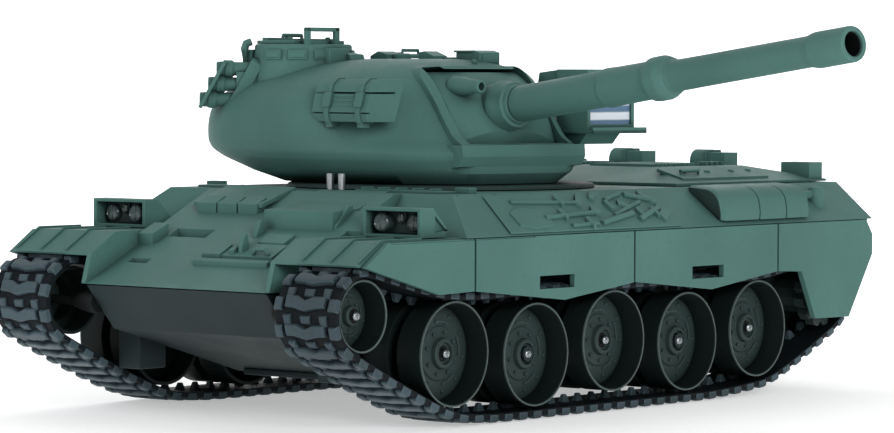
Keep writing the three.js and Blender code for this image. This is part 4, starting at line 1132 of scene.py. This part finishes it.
def cupola():
    """The commander's cupola with its vision blocks, handle and side pipes, and its hatch."""
    u, v = -42, -25
    shape = Shape().turn([
        (13, 92), (17.8, 92), (17.6, 96), (17.0, 99), (16.5, 102.4), (16.3, 104.4), (16.3, 106),
        (16, 106.6), (15.6, 106.8), (13.6, 106.8), (13.6, 105), (13, 104.6),
    ], (u, v), "z", 72, closed=True)
    for k in range(8):
        a = math.radians(-75 + 30 * k)
        block = Shape().box(12.6, 17, -3.2, 3.2, 101.6, 104.9)
        block.box(16.4, 17.3, -2.6, 2.6, 102.3, 104.2)
        shape.add(block, Matrix.Translation((u, v, 0)) @ Matrix.Rotation(a, 4, "Z"))
    for y0, y1 in ((-9.4, -7.4), (2.8, 4.8)):
        shape.box(u + 12, u + 13.6, v + y0, v + y1, 103.6, 112.3)
    shape.box(u + 12, u + 13.6, v - 9.4, v + 4.8, 110.9, 112.3)
    shape.box(u + 13, u + 19, v - 4, v + 4, 100, 105.4)
    shape.prism([(u + 15, 99), (u + 23, 99), (u + 21, 103.4), (u + 16, 104)], v + 3, v + 9)
    path = ((-11.2, -13.4, 107.6), (-12.4, -14.6, 107), (-12.8, -15, 105.2), (-12.8, -15, 97))
    for offset in (-1.9, 0, 1.9):
        du, dv = 0.76 * offset, -0.65 * offset
        shape.bar([(u + a + du, v + b + dv, z) for a, b, z in path], 1.3, 12)
    shape.box(u - 12.8, u - 9, v - 15, v - 9, 98, 105)
    turret_piece("cupola_drum", shape, ["cupola"], bevel=0.25)
    lid = Shape()
    outline = [
        (u - 1.5 + 14.6 * math.cos(math.radians(a)), v + 14.6 * math.sin(math.radians(a)))
        for a in range(47, 314, 7)
    ]
    lid.prism(outline, 106.9, 108, "z")
    raised = [(u - 1.5 + (x - u + 1.5) * 0.8, v + (y - v) * 0.8) for x, y in outline]
    lid.prism(raised, 107.8, 108.6, "z")
    lid.box(u - 17.4, u - 13.6, v - 4, v + 4, 106.9, 109.1)
    grip = ((-4, 108.4), (-4, 109.8), (4, 109.8), (4, 108.4))
    lid.bar([(u - 6, v + y, z) for y, z in grip], 0.7)
    for x, y in ((3, 8), (3, -8), (-9, 0)):
        lid.bolt(u + x, v + y, 108.5, 0.7, 0.9, "z")
    turret_piece("cupola_lid", lid, ["cupola_hatch"], "cupola_hatch", bevel=0.25)


def roof_fittings():
    profile = [(9.5, 102.3), (9.5, 103.2), (9.1, 103.6), (6.6, 103.8), (6.2, 103.5)]
    lid = Shape().turn(profile, (-34, 15), "z", 48)
    lid.box(-45, -41.2, 12, 18, 102.3, 104.4)
    lid.bar([(-34, 11.5, 103.4), (-34, 11.5, 105), (-34, 18.5, 105), (-34, 18.5, 103.4)], 0.6)
    turret_piece("loader_lid", lid, ["loader_hatch"], "loader_hatch", bevel=0.2)
    sight = Shape()
    sight.prism([(-2, 99), (10, 99), (10, 104.2), (7.4, 104.8), (-2, 104.2)], 8, 17)
    sight.box(9.4, 10.4, 9.2, 15.8, 100.8, 103.4)
    sight.box(-2.6, 7, 7.4, 17.6, 104.2, 104.9)
    sight.prism([(-12, 99), (-4, 99), (-4, 103), (-9, 104.6), (-12, 104.2)], 0, 6)
    sight.box(-8, 0, 4, 12, 99, 102.6)
    sight.prism([(-30, 100), (-21, 100), (-21, 103.6), (-26, 104.6), (-30, 103)], -6, 1)
    sight.turn([(3, 99.6), (3, 103.4), (2.4, 103.9)], (-19, -1), "z", 28)
    for x, y in ((6, 0), (2, -10), (-6, -14), (-14, 10), (12, 4)):
        sight.bolt(x, y, 100.4, 1.5, 1.0, "z")
    sight.box(-64, -60, 2, 14, 97, 100.4)
    turret_piece("sights", sight, ["sight_box"], bevel=0.25)


def smoke_bank():
    """Three tubes in a leaning frame, on each flank of the turret."""
    turn = Matrix.Translation((-51, -45, 93.4)) @ Matrix.Rotation(math.radians(232), 4, "Z")
    lean = math.atan2(2.8, 5.1)
    bank = Shape()
    for i in range(3):
        tube = Shape().turn([
            (1.0, -6), (2.2, -6), (2.3, 4.6), (2.9, 5.2), (2.9, 7.4), (2.5, 8), (2.4, 10.2),
            (2.1, 10.5), (1.6, 10.5), (1.55, 8), (0.6, 7.8),
        ], (0, 0), "z", 28)
        place = Matrix.Translation(((i - 1) * 2.8, 0, 5.1 * (1 - i)))
        bank.add(tube, place @ Matrix.Rotation(math.pi / 2, 4, "Y"))
    for x, width, half in ((-2, 3.8, 2), (8.9, 4.2, 0.6)):
        plate = Shape().prism(
            [(-width, -8), (-width + 1.2, -9), (width - 1.2, -9), (width, -8), (width, 8),
             (width - 1.2, 9), (-width + 1.2, 9), (-width, 8)], -half, half, "x",
        )
        for z in (7.4, -7.4):
            for y in (-width + 1.2, width - 1.2):
                plate.bolt(y, z, half - 0.1, 0.4, 0.5, "x")
        bank.add(plate, Matrix.Translation((x, 0, 0)) @ Matrix.Rotation(-lean, 4, "Y"))
    bank.box(-16, 1, -3, 3, -4, 4)
    for side, matrix in (("right", TURRET), ("left", TURRET @ FLIP)):
        name = f"smoke_discharger_{side}"
        copy = Shape().add(bank)
        piece(f"{name}_bank", copy, "turret", GREEN, [name], bevel=0.2, matrix=matrix @ turn)


def flank_box():
    """The strapped stowage box on the turret's right flank."""
    shape = Shape().prism(
        [(-40, 81.6), (-51.2, 81.6), (-51.9, 84.4), (-49.6, 93.4), (-47.6, 95.2), (-36, 95.2)],
        -3.8, 24.5, "x",
    )
    upper_seam = Shape().prism([(-60, 90.6), (-60, 91.1), (-40, 91.1), (-40, 90.6)], -6, 30, "x")
    lower_seam = Shape().prism(
        [(-60, 84.2), (-60, 84.6), (-50.5, 84.6), (-50.5, 84.2)], -6, 30, "x",
    )
    straps = Shape()
    for x in (3, 19):
        straps.prism(
            [(-46, 81.2), (-51.6, 81.2), (-52.4, 84.4), (-50.1, 93.8), (-47.8, 95.7), (-45, 95.7)],
            x, x + 2.2, "x",
        )
        straps.prism([(-51.4, 86.4), (-52.5, 86.4), (-51.4, 91), (-50, 91)], x - 0.7, x + 2.9, "x")
        straps.prism([(-48, 79.8), (-51, 79.8), (-51.2, 82), (-48, 82)], x - 0.2, x + 2.4, "x")
    for k in range(3):
        z = 86.6 + k * 1.5
        straps.prism([
            (-50.4, z), (-51.5 + k * 0.35, z), (-51.4 + k * 0.35, z + 0.7), (-50.4, z + 0.7),
        ], 7, 17, "x")
    seams = [upper_seam, lower_seam]
    turret_piece("stowage_box", shape, ["flank_box_right"], bevel=0.7, cut=seams)
    turret_piece("stowage_box_straps", straps, bevel=0.2)


def searchlight():
    """The searchlight's housing and window, on a tray left of the gun."""
    tray = Shape().box(22, 42, 29.8, 54, 77.6, 78.8)
    tray.prism([(24, 78), (38, 78), (34, 74), (24, 74)], 31, 46)
    tray.box(8, 30, 32, 40, 74, 77.8)
    tray.box(41.2, 42, 29.8, 54, 77.6, 79.6)
    for y in (33, 50):
        tray.bolt(40, y, 78.6, 0.8, 0.9, "z")
    turret_piece("light_tray", tray, ["searchlight_tray"], bevel=0.2)
    housing = Shape().box(24, 39, 30, 51, 78.7, 98.7)
    back = Shape().prism([(12, 88), (25, 86), (25, 98.7), (14, 97.6)], 31, 45)
    window = Shape().box(37.2, 44, 31.3, 49.7, 80.5, 97.2)
    rails = [Shape().box(26 + 4 * k, 27 + 4 * k, 50.6, 52, 80, 98) for k in range(3)]
    turret_piece(
        "light_housing", housing, ["searchlight_housing"], bevel=0.5, joined=[back],
        cut=[window, *rails],
    )
    lens = Shape().box(36.9, 38, 31, 50, 80.3, 97.4)
    turret_piece("light_window", lens, ["searchlight_lens"], look=STRIPES, bevel=0.1)


# ---- CAD nodes that stay, with better materials ----------------------------------------------
def dress_cad_nodes():
    looks = {
        "gearbox": BLACK, "drive_motor_left": STEEL, "drive_motor_right": STEEL,
        "battery_pack": CELLS, "circuit_board": BOARD, "turret_motor": STEEL,
        "contact_post_inner": STEEL, "contact_post_outer": STEEL, "battery_door": DARK,
        "power_switch": BLACK, "drive_sprocket_left": WHEEL, "drive_sprocket_right": WHEEL,
    }
    for side in ("left", "right"):
        for number in (2, 4):
            looks[f"swing_arm_{side}_{number}"] = DARK
    for name, look in looks.items():
        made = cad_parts[name]
        made.data.materials.clear()
        made.data.materials.append(look)


add_camera()
add_studio()
add_floor()
upper_hull()
bow_fittings()
lower_hull()
axles()
skirts()
side_fittings()
engine_deck()
wheels()
tracks()
turret_shell()
turret_ring()
gun()
cupola()
roof_fittings()
smoke_bank()
flank_box()
searchlight()
dress_cad_nodes()
bpy.context.scene.view_settings.view_transform = "Standard"
